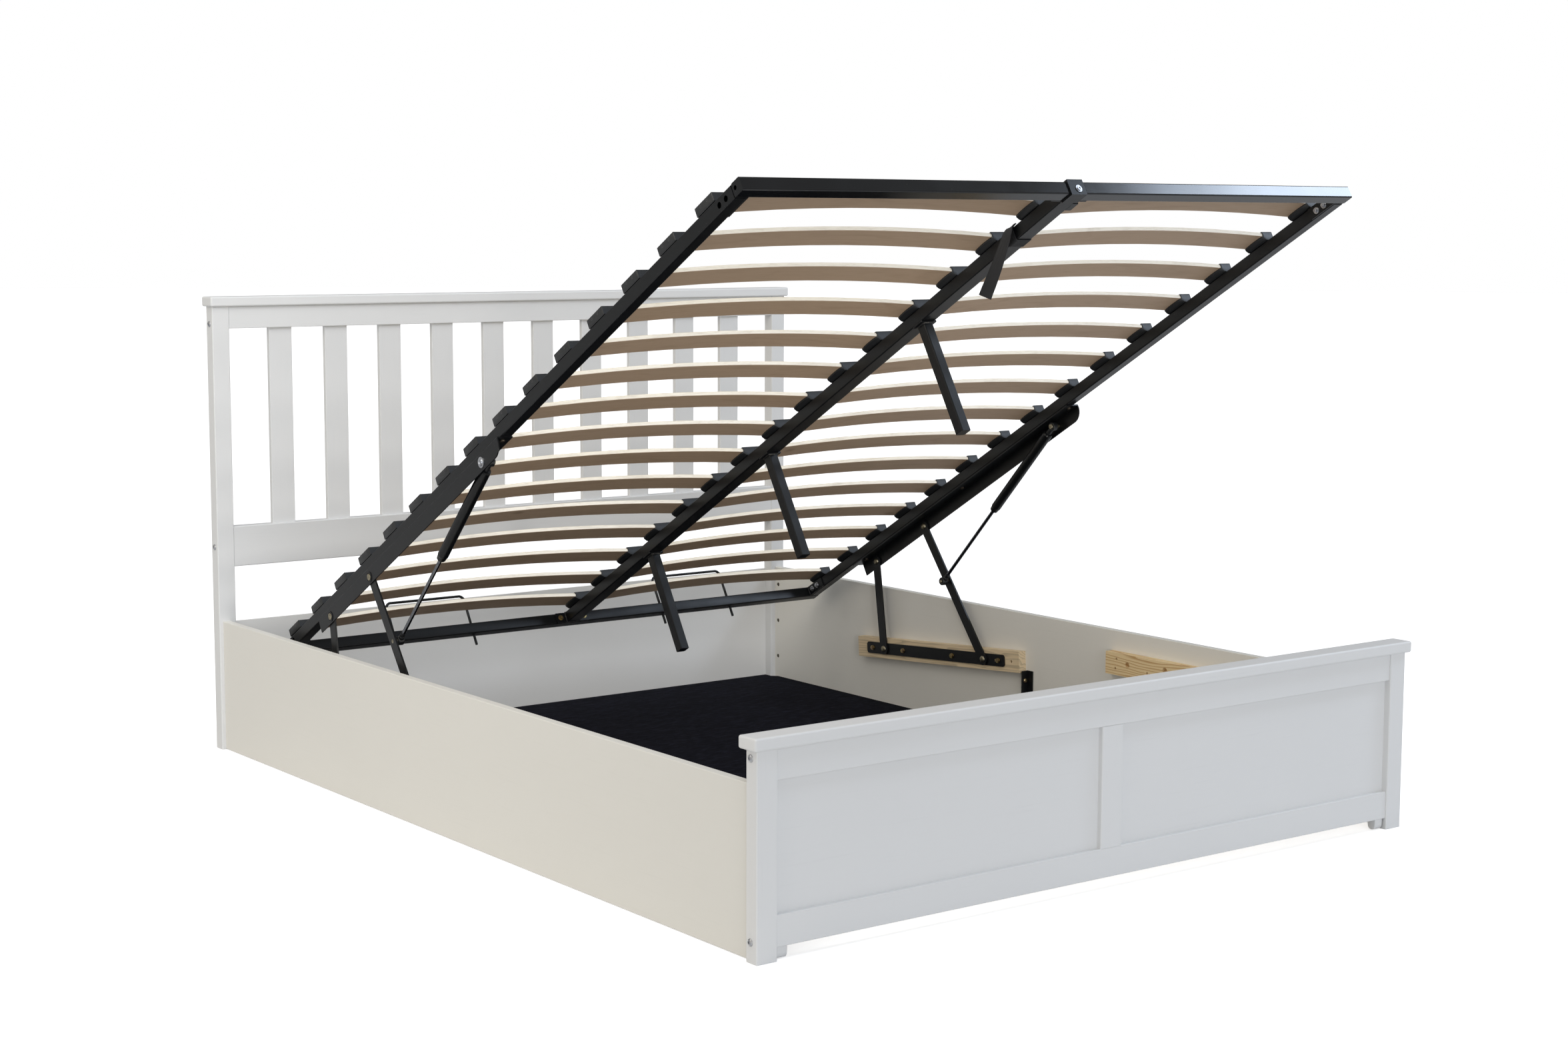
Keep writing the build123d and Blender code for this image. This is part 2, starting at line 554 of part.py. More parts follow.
# Angle irons under the side rails that carry the upper pivots, with a rounded foot end
angle_ends = (220.0, 1096.0)
angle_depth = 32.0
angle_thickness = 2.5
angle_corner = 27.0
flange_sketch = side_view(FLANGE_X[0]) * Polyline(
    (from_head(angle_ends[0]), -3.0),
    (from_head(angle_ends[0]), -angle_depth),
    (from_head(angle_ends[1]), -angle_depth),
    (from_head(angle_ends[1]), -3.0),
    close=True,
)
flange = extrude(make_face(flange_sketch), amount=angle_thickness, dir=(1, 0, 0))
flange_corner = flange.edges().filter_by(Axis.X).sort_by(Axis.Z)[0:2].sort_by(Axis.Y)[0]
flange = fillet(flange_corner, angle_corner)
shelf = block(
    (rail_inner_x, FLANGE_X[1]), (from_head(angle_ends[1]), from_head(angle_ends[0])), (-3.0, 0.0)
)
mechanism_angle = flange + shelf
top_bend = mechanism_angle.edges().filter_by(Axis.Y).filter_by(
    lambda edge: abs(edge.center().X - FLANGE_X[1]) < 0.1 and abs(edge.center().Z) < 0.1
)
mechanism_angle = fillet(top_bend, 2.4)
gas_point = (from_head(GAS_STATION), GAS_DEPTH)
rear_upper = (from_head(REAR_UPPER_PIVOT), UPPER_PIVOT_DEPTH)
front_upper = (from_head(FRONT_UPPER_PIVOT), UPPER_PIVOT_DEPTH)
for pivot in (rear_upper, front_upper):
    mechanism_angle = drilled(
        mechanism_angle, (FLANGE_X[0] - 1.0, FLANGE_X[1] + 1.0), pivot, PIVOT_RADIUS + RUNNING_FIT
    )
    collar = extrude(side_view(FLANGE_X[1]) * Pos(*pivot) * (Circle(11.0) - Circle(8.5)), amount=1.2)
    mechanism_angle += collar
save("mechanism_angles", raised(both_sides(mechanism_angle)))

# Screws that hold the angle irons up to the side rails
screw_head = Pos(0, 0, -4.4) * Cylinder(5.2, 2.8)
screw_head = chamfer(screw_head.edges().filter_by(GeomType.CIRCLE).sort_by(Axis.Z)[0], 1.4)
angle_screws = []
for station in (257.0, 670.0, 1083.0):
    angle_screws += both_sides(Pos(PLATFORM_HALF_WIDTH - 8.0, from_head(station), 0) * screw_head)
save("angle_screws", raised(angle_screws))

# Outer ends of the gas struts' upper studs on the angle irons
gas_nut_profile = [
    (FLANGE_X[1], 10.5), (FLANGE_X[1] + 1.5, 10.5), (FLANGE_X[1] + 1.5, 6.8), (FLANGE_X[1] + 3.6, 6.2),
    (FLANGE_X[1] + 3.6, 3.6), (FLANGE_X[1] + 2.4, 3.2),
]
save("gas_stud_collars", raised(both_sides(turned(gas_nut_profile, gas_point))))

# Support legs of square tube under the centre rail, with closed feet
leg_section = RectangleRounded(LEG_SIZE, LEG_SIZE, TUBE_ROUNDING) - RectangleRounded(
    LEG_SIZE - 2 * TUBE_WALL, LEG_SIZE - 2 * TUBE_WALL, TUBE_ROUNDING - TUBE_WALL
)
foot_thickness = 3.0
leg = Pos(0, 0, foot_thickness - LEG_LENGTH) * extrude(leg_section, amount=LEG_LENGTH - foot_thickness)
leg_foot = Pos(0, 0, -LEG_LENGTH) * extrude(
    RectangleRounded(LEG_SIZE, LEG_SIZE, TUBE_ROUNDING), amount=foot_thickness
) + Pos(0, 0, foot_thickness - LEG_LENGTH) * extrude(
    RectangleRounded(LEG_SIZE - 2 * TUBE_WALL, LEG_SIZE - 2 * TUBE_WALL, TUBE_ROUNDING - TUBE_WALL), amount=12.0
)
save("support_legs", raised([Pos(0, from_head(station)) * leg for station in LEG_STATIONS]))
save("leg_feet", raised([Pos(0, from_head(station)) * leg_foot for station in LEG_STATIONS]))


def slat_plane(station, width):
    """The plane across the platform where a slat or holder of some width starts toward the foot."""
    return Plane(origin=(0, from_head(station - width / 2), 0), x_dir=(1, 0, 0), z_dir=(0, -1, 0))


def bowed_outline():
    """One right-hand slat seen from its edge: two parallel arcs that rise in the middle."""
    middle = sum(SLAT_REACH) / 2
    low = SLAT_END_HEIGHT
    high = low + SLAT_THICKNESS
    under = ThreePointArc((SLAT_REACH[0], low), (middle, low + SLAT_BOW), (SLAT_REACH[1], low))
    over = ThreePointArc((SLAT_REACH[0], high), (middle, high + SLAT_BOW), (SLAT_REACH[1], high))
    ends = [Line((reach, low), (reach, high)) for reach in SLAT_REACH]
    return make_face([under, over] + ends)


# Sprung slats in two rows and the holders that take their ends
bow_face = bowed_outline()
slat_stations = [FIRST_SLAT + index * SLAT_PITCH for index in range(SLAT_COUNT)]
slats = []
side_holders = []
centre_holders = []
holder_underside = HOLDER_TOP - 17.0
side_outline = Polyline(
    (rail_inner_x + 4.0, TUBE), (rail_inner_x + 16.0, TUBE), (rail_inner_x + 16.0, holder_underside),
    (rail_inner_x + 22.5, holder_underside), (rail_inner_x + 22.5, HOLDER_TOP), (rail_inner_x - 8.5, HOLDER_TOP),
    (rail_inner_x - 10.0, HOLDER_TOP - 1.0), (rail_inner_x - 10.0, 33.0), (rail_inner_x - 6.0, 29.5),
    (rail_inner_x, 25.8),
    close=True,
)
centre_half = CENTRE_RAIL_WIDTH / 2
centre_points = [(centre_half - 3.5, TUBE), (centre_half, 25.8), (centre_half + 5.0, 29.5),
                 (centre_half + 8.0, 33.0), (centre_half + 8.0, HOLDER_TOP - 1.0), (centre_half + 6.5, HOLDER_TOP)]
centre_outline = Polyline(*(centre_points + [(-x, z) for x, z in reversed(centre_points)]), close=True)
for station in slat_stations:
    slat = extrude(slat_plane(station, SLAT_WIDTH) * bow_face, amount=SLAT_WIDTH, dir=TOWARD_FOOT)
    pair = both_sides(slat)
    holder_plane = slat_plane(station, HOLDER_LENGTH)
    side_holder = extrude(make_face(holder_plane * side_outline), amount=HOLDER_LENGTH, dir=TOWARD_FOOT) - slat
    centre_holder = extrude(make_face(holder_plane * centre_outline), amount=HOLDER_LENGTH, dir=TOWARD_FOOT)
    for slat_side in pair:
        centre_holder -= slat_side
    slats.append(pair)
    side_holders += both_sides(side_holder)
    centre_holders.append(centre_holder)
save("slats_right", raised([pair[0] for pair in slats]))
save("slats_left", raised([pair[1] for pair in slats]))
save("side_slat_holders", raised(side_holders))
save("centre_slat_holders", raised(centre_holders))

# Wire bars that keep the mattress from sliding
retainer_top = 97.0
retainer_bottom = -25.0
retainer_plane_y = from_head(TUBE / 2)
retainer_path = FilletPolyline(
    (retainer_x[0], retainer_plane_y, retainer_bottom), (retainer_x[0], retainer_plane_y, retainer_top),
    (retainer_x[1], retainer_plane_y, retainer_top), (retainer_x[1], retainer_plane_y, retainer_bottom),
    radius=12.0,
)
wire_start = Plane(origin=(retainer_x[0], retainer_plane_y, retainer_bottom), x_dir=(1, 0, 0), z_dir=(0, 0, 1))
retainer_bar = sweep(wire_start * Circle(retainer_wire_radius), path=retainer_path)
save("retainer_bars", raised(both_sides(retainer_bar)))

# Webbing pull strap around the centre rail, its free end hanging down beside the rail
strap_width = 25.0
strap_thickness = 1.6
strap_station = 1815.0
band = RectangleRounded(
    CENTRE_RAIL_WIDTH + 2 * strap_thickness, TUBE + 2 * strap_thickness, TUBE_ROUNDING + strap_thickness
) - RectangleRounded(CENTRE_RAIL_WIDTH + 0.1, TUBE + 0.1, TUBE_ROUNDING)
strap_loop = extrude(
    tube_plane.offset(strap_station - strap_width / 2) * Pos(0, TUBE / 2) * band, amount=strap_width
)


def strap_section(centre, across, facing):
    """One cross-section of the strap at a centre, its width along one direction and facing another."""
    along_strap = Vector(*across).cross(Vector(*facing))
    return Plane(origin=centre, x_dir=across, z_dir=along_strap) * Rectangle(strap_width, strap_thickness)


strap_tail = loft(
    [
        strap_section((-18.6, from_head(1815.0), 20.0), (0, 1, 0), (1, 0, 0)),
        strap_section((-27.0, from_head(1800.0), 6.0), (0, 1, 0.1), (0.95, 0, 0.3)),
        strap_section((-36.0, from_head(1776.0), -20.0), (-0.15, 1, 0.2), (0.9, 0.15, 0.3)),
        strap_section((-45.0, from_head(1750.0), -48.0), (-0.45, 0.85, 0.3), (0.8, 0.5, 0.2)),
        strap_section((-51.0, from_head(1733.0), -67.0), (-0.6, 0.75, 0.3), (0.7, 0.6, 0.1)),
    ]
)
save("pull_strap", raised([strap_loop + strap_tail]))

# Links of the lift mechanism: flat bars with round ends
rear_upper_point = raised_point(REAR_UPPER_PIVOT, UPPER_PIVOT_DEPTH)
front_upper_point = raised_point(FRONT_UPPER_PIVOT, UPPER_PIVOT_DEPTH)
gas_lower_point = along(FRONT_PIVOT, front_upper_point, GAS_LINK_SHARE)
gas_upper_point = raised_point(GAS_STATION, GAS_DEPTH)


def link_bar(start, end, holes):
    """A flat link between two pivots, drilled at the pivots."""
    length = distance(start, end)
    sketch = side_view(LINK_X) * Pos(*start) * Rot(0, 0, heading(start, end)) * (
        Pos(length / 2, 0) * Rectangle(length, LINK_WIDTH)
        + Circle(LINK_END_RADIUS)
        + Pos(length, 0) * Circle(LINK_END_RADIUS)
    )
    bar = extrude(sketch, amount=LINK_THICKNESS)
    for hole in holes:
        bar = drilled(bar, (LINK_X, LINK_X + LINK_THICKNESS), hole, PIVOT_RADIUS)
    return bar


link_outer_x = LINK_X + LINK_THICKNESS
front_link = link_bar(FRONT_PIVOT, front_upper_point, (FRONT_PIVOT, front_upper_point, gas_lower_point))
rear_link = link_bar(REAR_PIVOT, rear_upper_point, (REAR_PIVOT, rear_upper_point))
save("front_links", both_sides(front_link))
save("rear_links", both_sides(rear_link))

# Rivets: domed heads on the inner face, and a flat tail behind the plate they pass through
dome_profile = [(LINK_X - 3.4, 2.5), (LINK_X - 2.9, 5.0), (LINK_X - 1.6, 7.2), (LINK_X, 8.0), (LINK_X, PIVOT_RADIUS)]


def rivet(centre, plate_outer_x):
    """A rivet through a link and the plate behind it."""
    tail = [
        (plate_outer_x + 0.3, PIVOT_RADIUS), (plate_outer_x + 0.3, 7.2),
        (plate_outer_x + 1.6, 7.0), (plate_outer_x + 2.2, 5.5),
    ]
    return turned(dome_profile + tail, centre)


front_rivets = both_sides(rivet(FRONT_PIVOT, batten_front_x)) + both_sides(rivet(front_upper_point, FLANGE_X[1]))
save("front_link_rivets", front_rivets)
rear_lower_rivet = turned(dome_profile + [(link_outer_x, PIVOT_RADIUS)], REAR_PIVOT)
save("rear_link_rivets", both_sides(rivet(rear_upper_point, FLANGE_X[1])) + both_sides(rear_lower_rivet))
pin_profile = [
    (plate_x, PIVOT_RADIUS), (batten_front_x, PIVOT_RADIUS), (batten_front_x, 7.2), (batten_front_x + 2.2, 6.8)
]
save("base_plate_pins", both_sides(turned(pin_profile, REAR_PIVOT)))

# Ball studs on the front links and the sockets of the gas struts around them
ball_radius = 6.5
stud_neck_radius = 3.5
ball_fit = 0.1
ball_outline = [
    (GAS_AXIS_X - ball_radius * math.cos(math.radians(turn)), ball_radius * math.sin(math.radians(turn)))
    for turn in range(40, 141, 10)
]
stud_outline = [(GAS_AXIS_X - 9.5, 2.8), (GAS_AXIS_X - 8.5, stud_neck_radius), (GAS_AXIS_X - 5.4, stud_neck_radius)]
stud_outline += ball_outline
stud_outline += [
    (GAS_AXIS_X + 5.4, stud_neck_radius), (LINK_X, stud_neck_radius),
    (LINK_X, PIVOT_RADIUS), (link_outer_x, PIVOT_RADIUS),
]
ball_stud = turned(stud_outline, gas_lower_point)
save("ball_studs", both_sides(ball_stud))


def strut_line(x, start, end):
    """The plane at the start of a strut whose Z axis runs toward its end."""
    direction = (0, end[0] - start[0], end[1] - start[1])
    return Plane(origin=(x, *start), x_dir=(1, 0, 0), z_dir=direction)


def turned_on(plane, points):
    """A turned piece on a plane's Z axis from (radius, height) points."""
    outline = [(0.0, points[0][1])] + list(points) + [(0.0, points[-1][1])]
    section = make_face(Plane.XZ * Polyline(*outline, close=True))
    return plane.location * revolve(section, Axis.Z)


strut_length = distance(gas_lower_point, gas_upper_point)
rod_line = strut_line(GAS_AXIS_X, gas_lower_point, gas_upper_point)
tube_line = strut_line(GAS_AXIS_X, gas_upper_point, gas_lower_point)
socket_radius = 9.5
socket_half = 6.5
socket_neck = 24.0
socket_outer = [
    (-socket_half, socket_radius - 1.0), (-socket_half + 1.5, socket_radius),
    (socket_half - 1.5, socket_radius), (socket_half, socket_radius - 1.0),
]
socket_inner = [
    (socket_half, stud_neck_radius + 0.3), (5.0, 4.6), (2.5, 6.2), (0.0, ball_radius + ball_fit),
    (-2.5, 6.2), (-5.0, 4.6), (-socket_half, stud_neck_radius + 0.3),
]
socket_section = make_face(Polyline(*[(GAS_AXIS_X + x, r) for x, r in socket_outer + socket_inner], close=True))
socket_ring = Pos(0, *gas_lower_point) * revolve(socket_section, Axis.X)
socket_shank = turned_on(rod_line, [(6.0, 7.5), (6.0, 14.0), (5.2, 15.0), (5.2, socket_neck)])
socket_body = socket_ring + socket_shank
save("ball_sockets", both_sides(socket_body))

# Gas strut rods with their pistons, and the tubes they slide in
tube_start = 22.0
tube_end = tube_start + GAS_TUBE_LENGTH
bore_radius = GAS_TUBE_RADIUS - 1.7
guide_length = 12.0
rod_end = strut_length - tube_end + guide_length + 14.0
rod = turned_on(
    rod_line,
    [
        (GAS_ROD_RADIUS, socket_neck), (GAS_ROD_RADIUS, rod_end - 8.0),
        (bore_radius - 0.3, rod_end - 8.0), (bore_radius - 0.3, rod_end),
    ],
)
save("strut_rods", both_sides(rod))
tube_outline = [
    (6.0, tube_start), (GAS_TUBE_RADIUS - 1.5, tube_start + 1.0), (GAS_TUBE_RADIUS, tube_start + 4.0),
    (GAS_TUBE_RADIUS, tube_end - 12.0), (GAS_TUBE_RADIUS - 1.0, tube_end - 8.0), (GAS_TUBE_RADIUS - 2.0, tube_end),
    (GAS_ROD_RADIUS + RUNNING_FIT, tube_end), (GAS_ROD_RADIUS + RUNNING_FIT, tube_end - guide_length),
    (bore_radius, tube_end - guide_length), (bore_radius, tube_start + 6.0),
]
save("strut_tubes", both_sides(turned_on(tube_line, tube_outline)))

# Eyes at the upper ends of the gas struts and the studs that pass through them
eye_radius = 9.5
eye = turned(
    [
        (GAS_AXIS_X - 6.0, eye_radius - 1.0), (GAS_AXIS_X - 5.0, eye_radius),
        (GAS_AXIS_X + 5.0, eye_radius), (GAS_AXIS_X + 6.0, eye_radius - 1.0),
    ],
    gas_upper_point,
) + turned_on(tube_line, [(6.0, 3.0), (6.0, tube_start)])
eye = drilled(eye, (GAS_AXIS_X - 12.0, GAS_AXIS_X + 12.0), gas_upper_point, PIVOT_RADIUS)
save("strut_eyes", both_sides(eye))
stud_profile = [
    (GAS_AXIS_X - 9.0, 5.0), (GAS_AXIS_X - 8.0, 5.8), (GAS_AXIS_X - 6.2, 5.8), (GAS_AXIS_X - 6.2, PIVOT_RADIUS),
    (link_outer_x, PIVOT_RADIUS),
]
save("strut_studs", both_sides(turned(stud_profile, gas_upper_point)))
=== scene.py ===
"""Ottoman bed with a lifting sprung-slat platform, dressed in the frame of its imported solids."""

import math

import bmesh
import bpy
import numpy as np
from mathutils import Matrix, Vector


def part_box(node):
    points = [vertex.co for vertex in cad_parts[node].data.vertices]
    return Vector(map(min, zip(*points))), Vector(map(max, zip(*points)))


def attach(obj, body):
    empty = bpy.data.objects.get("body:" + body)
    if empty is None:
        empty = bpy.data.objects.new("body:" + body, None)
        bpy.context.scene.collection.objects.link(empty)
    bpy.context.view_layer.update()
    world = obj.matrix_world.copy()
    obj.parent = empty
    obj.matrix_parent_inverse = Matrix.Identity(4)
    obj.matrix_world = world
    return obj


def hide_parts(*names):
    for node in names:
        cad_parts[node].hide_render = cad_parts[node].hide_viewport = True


bl_info = {
    "name": "Ottoman Bed",
    "version": (1, 0, 0),
    "blender": (4, 5, 0),
    "location": "3D View > Sidebar > Bed",
    "description": "Builds the finishes, soft parts and small details of a lifting slatted bed",
    "category": "Object",
}

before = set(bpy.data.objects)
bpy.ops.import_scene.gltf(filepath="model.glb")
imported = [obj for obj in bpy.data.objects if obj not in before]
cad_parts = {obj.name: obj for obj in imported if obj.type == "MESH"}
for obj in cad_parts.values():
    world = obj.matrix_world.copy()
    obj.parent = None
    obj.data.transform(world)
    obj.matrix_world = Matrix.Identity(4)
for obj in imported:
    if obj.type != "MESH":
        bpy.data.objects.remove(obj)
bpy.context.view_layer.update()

# The photographed viewpoint
CAMERA_PLACE = (-3.08598, -4.17396, 1.18703)
CAMERA_YAW = 36.821
CAMERA_PITCH = -6.881
CAMERA_ROLL = 0.181
CAMERA_LENS = 57.204

# The raised platform's own frame: X across, Y toward the head, Z away from the slats' underside
PLATFORM_ORIGIN = (0.0, 0.7989, 0.2348)
PLATFORM_TILT = math.radians(30.3)

# Sizes that the solids already have, in metres
SLAT_COUNT = 15
FIRST_SLAT = 0.077
SLAT_PITCH = 0.1287
SLAT_STATIONS = FIRST_SLAT + np.arange(SLAT_COUNT) * SLAT_PITCH  # from the platform's head end
SLAT_THICKNESS = 0.008
SLAT_END_HEIGHT = 0.0335
SLAT_BOW = 0.015
SLAT_MIDDLE_X = 0.3655
SLAT_HALF_LENGTH = 0.3555
TUBE = 0.025
PLATFORM_HALF_WIDTH = 0.732
PLATFORM_LENGTH = 1.9886
CENTRE_RAIL_WIDTH = 0.035
LEG_STATIONS = (0.418, 0.928, 1.504)
LEG_SIZE = 0.022
HOLDER_LENGTH = 0.056
HOLDER_TOP = 0.0448

# Rings of a side holder from its outer face to its mouth and back into the pocket, in millimetres: X outward
# from the rail's inner face, half length, lowest point, fall of the highest point under the holder's top, and
# corner radius. The last number is the ring's share in the lip. A pocket's rings take the slat's heights.
SIDE_RINGS = (
    (22.5, 26.5, 29.3, 1.5, 1.0, 0), (21.5, 28.0, 27.9, 0, 1.2, 0), (16.0, 28.0, 27.9, 0, 1.2, 0),
    (15.9, 28.0, 25.2, 0, 1.2, 0), (4.0, 28.0, 25.2, 0, 1.2, 0), (-0.5, 28.0, 26.2, 0, 1.2, 0),
    (-3.0, 28.0, 28.5, 0, 1.2, 0.4), (-4.5, 28.0, 31.0, 0.1, 1.1, 0.8), (-5.4, 27.8, 32.2, 0.3, 0.9, 1),
    (-5.8, 27.2, 32.8, 0.6, 0.6, 1), (-5.8, 26.6, None, None, 0.3, 1), (-5.2, 26.1, None, None, 0.2, 1),
    (-1.0, 26.1, None, None, 0.2, 0.3), (13.5, 26.1, None, None, 0.2, 0),
)
# The same for half a centre holder, from its pocket out of the mouth and onto the rail, X from the rail's side
CENTRE_RINGS = (
    (-7.0, 26.1, None, None, 0.2, 0), (2.0, 26.1, None, None, 0.2, 0.3), (4.4, 26.1, None, None, 0.2, 1),
    (5.0, 26.6, None, None, 0.3, 1), (5.0, 27.2, 32.2, 0.8, 0.6, 1), (4.6, 27.8, 31.6, 0.3, 0.9, 1),
    (3.7, 28.0, 30.4, 0.1, 1.1, 0.8), (2.2, 28.0, 28.2, 0, 1.2, 0.4), (0.3, 28.0, 26.2, 0, 1.2, 0),
    (-3.0, 28.0, 25.2, 0, 1.2, 0),
)
POCKET_FIT = 0.00012
UPPER_LIP = 0.0020

# Details that only the finishes have: pin marks of the side holders, plies, the webbing's ribs and the
# swelling of a weld bead
PIN_ASIDE = 0.0105
PIN_HEIGHT = 0.0388
PLY_THICKNESS = 0.0027
WEBBING_RIB = 0.0016
BEAD_RIPPLE = 0.16
BEAD_UNEVEN = 0.08
BEAD_UNEVEN_LENGTH = 2 * math.pi / 1900.0

# Storage cloth: gap round its edges, height over the solid's underside, thickness, and height of the hem
CLOTH_GAP = 0.0006
CLOTH_CLEARANCE = 0.0004
CLOTH_THICKNESS = 0.0009
CLOTH_HEM = 0.0003

# Distance of the pull strap's loop from the platform's head end
STRAP_STATION = 1.815

# Origin and slope of the patterns on the raised platform's pieces
ON_PLATFORM = (PLATFORM_ORIGIN, -PLATFORM_TILT)

# Studio floor: its radius, and how much brighter the camera sees it
FLOOR_REACH = 40.0
FLOOR_LIFT = 0.55

# Suns: name, setting, screen colour, direction in which the bed sees it, and degrees that it fills
LEVEL = (1.0, 0.0, 0.0)
SUNS = (
    ("left_light", "left_sun", (255, 244, 222), (-1.0, 0.15, 0.42), 70.0),
    ("front_light", "front_sun", (243, 248, 255), (-0.25, -0.93, 0.20), 40.0),
    ("top_light", "top_sun", (244, 248, 255), (-0.2, -0.1, 1.0), 50.0),
)

# Square panels: name, setting, share of it, screen colour, centre, direction in which the bed sees it,
# direction of one side, and length of a side. The first two stand where the foot rail's front mirrors them to
# the camera.
MIRRORED = (0.745, -0.315, 0.588)
WINDOW_SIDE = (0.667, 0.367, -0.650)
PANELS = (
    ("window_light", "window", 1.0, (220, 235, 255), (3.3235, -2.0765, 3.415), MIRRORED, WINDOW_SIDE, 1.0),
    ("bright_pane", "window", 0.7, (220, 235, 255), (3.49025, -1.98475, 3.2525), MIRRORED, WINDOW_SIDE, 0.9),
    ("head_light", "head_lamp", 1.0, (255, 252, 246), (-1.45, -0.35, 2.15), (-1.2, -1.35, 1.5), LEVEL, 1.3),
    ("inner_light", "inner_lamp", 1.0, (255, 252, 246), (0.0, -0.95, 0.28), (0.0, -1.0, -0.12), LEVEL, 0.16),
)


def shade(red, green, blue):
    """The linear colour of three screen values from 0 to 255."""
    screen = np.array([red, green, blue]) / 255.0
    linear = np.where(screen <= 0.04045, screen / 12.92, ((screen + 0.055) / 1.055) ** 2.4)
    return tuple(float(value) for value in linear)


def scaled(colour, share):
    """A colour with each of its parts multiplied by a share."""
    return tuple(share * part for part in colour)


# Mesh surfaces


MIRROR = np.array([-1.0, 1.0, 1.0])


def to_world(points):
    """Points of the platform's own frame in the bed's frame: turned about X by the tilt, then moved."""
    sine, cosine = math.sin(-PLATFORM_TILT), math.cos(-PLATFORM_TILT)
    x, y, z = np.moveaxis(points, -1, 0)
    turned = np.stack([x, y * cosine - z * sine, y * sine + z * cosine], axis=-1)
    return turned + np.array(PLATFORM_ORIGIN)


def ring_faces(rows, columns, closed):
    """Quads between neighbouring rings: corner numbers (i, j), (i, j+1), (i+1, j+1), (i+1, j)."""
    across = np.arange(columns if closed else columns - 1)
    i, j = np.meshgrid(np.arange(rows - 1), across, indexing="ij")
    near, far, after = i * columns, (i + 1) * columns, (j + 1) % columns
    return np.stack([near + j, near + after, far + after, far + j], axis=-1).reshape(-1, 4)


def surface_object(name, grids, angle=40.0, closed=True, capped=True):
    """One mesh from grids of points shaped (copies, rings, points, 3). A capped one has flat caps on its end
    rings and faces outward. It is smooth but for edges steeper than the angle in degrees."""
    vertices, faces, start = [], [], 0
    for grid in grids:
        grid = np.asarray(grid, dtype=float)
        if grid.ndim == 3:
            grid = grid[None]
        copies, rows, columns, _ = grid.shape
        blocks = [ring_faces(rows, columns, closed)]
        if capped:
            ring = np.arange(columns)[None]
            blocks += [ring[:, ::-1], (rows - 1) * columns + ring]
        offsets = start + np.arange(copies) * rows * columns
        for block in blocks:
            faces += (block[None] + offsets[:, None, None]).reshape(-1, block.shape[1]).tolist()
        vertices.append(grid.reshape(-1, 3))
        start += copies * rows * columns
    mesh = bpy.data.meshes.new(name)
    mesh.from_pydata(np.concatenate(vertices).tolist(), [], faces)
    if capped:
        work = bmesh.new()
        work.from_mesh(mesh)
        bmesh.ops.recalc_face_normals(work, faces=work.faces)
        work.to_mesh(mesh)
        work.free()
    mesh.update()
    mesh.shade_smooth()
    mesh.set_sharp_from_angle(angle=math.radians(angle))
    piece = bpy.data.objects.new(name, mesh)
    bpy.context.scene.collection.objects.link(piece)
    return piece


def rounded_ring(half_width, low, high, radius, corner_points=5):
    """A rounded rectangle in the ring's own plane: four quarter circles, whose centres sit one radius inside
    the corners, joined by straight sides. Sizes may be arrays, one for each ring."""
    half_width, low, high, radius = np.broadcast_arrays(
        *[np.atleast_1d(np.asarray(size, dtype=float))[:, None] for size in (half_width, low, high, radius)]
    )
    starts = np.arange(4) * math.pi / 2
    angles = (starts[:, None] + np.linspace(0.0, math.pi / 2, corner_points)).ravel()
    side = np.repeat([1.0, -1.0, -1.0, 1.0], corner_points)
    level = np.repeat([1.0, 1.0, -1.0, -1.0], corner_points)
    across = side * (half_width - radius) + np.cos(angles) * radius
    up = (low + high) / 2 + level * ((high - low) / 2 - radius) + np.sin(angles) * radius
    return across, up


def finer(across, up, counts):
    """The same rings with a count of points added on each of the four straight sides, evenly spaced."""
    rings = np.stack([across, up])
    columns = rings.shape[2]
    corner = columns // 4
    parts = []
    for turn, count in enumerate(counts):
        following = (turn + 1) * corner
        start, end = rings[:, :, [following - 1]], rings[:, :, [following % columns]]
        share = np.linspace(0.0, 1.0, count + 2)[1:-1]
        parts += [rings[:, :, following - corner:following], start * (1 - share) + end * share]
    return np.concatenate(parts, axis=2)


def stacked_rings(half_x, half_y, levels, radius):
    """Rounded rectangles about the Z axis, one at each level."""
    across, along = rounded_ring(half_x, -half_y, half_y, radius)
    return np.stack([across, along, np.broadcast_to(levels[:, None], across.shape)], axis=-1)


def at_stations(shape, stations):
    """A shape repeated at distances from the platform's head end."""
    shift = np.zeros((len(stations), 1, 1, 3))
    shift[:, 0, 0, 1] = -np.asarray(stations)
    return to_world(shape[None] + shift)


def slat_underside(x):
    """Height of a slat's underside: a shallow arch, highest midway between centre rail and side rail."""
    share = (np.abs(x) - SLAT_MIDDLE_X) / SLAT_HALF_LENGTH
    return SLAT_END_HEIGHT + SLAT_BOW * (1.0 - share ** 2)


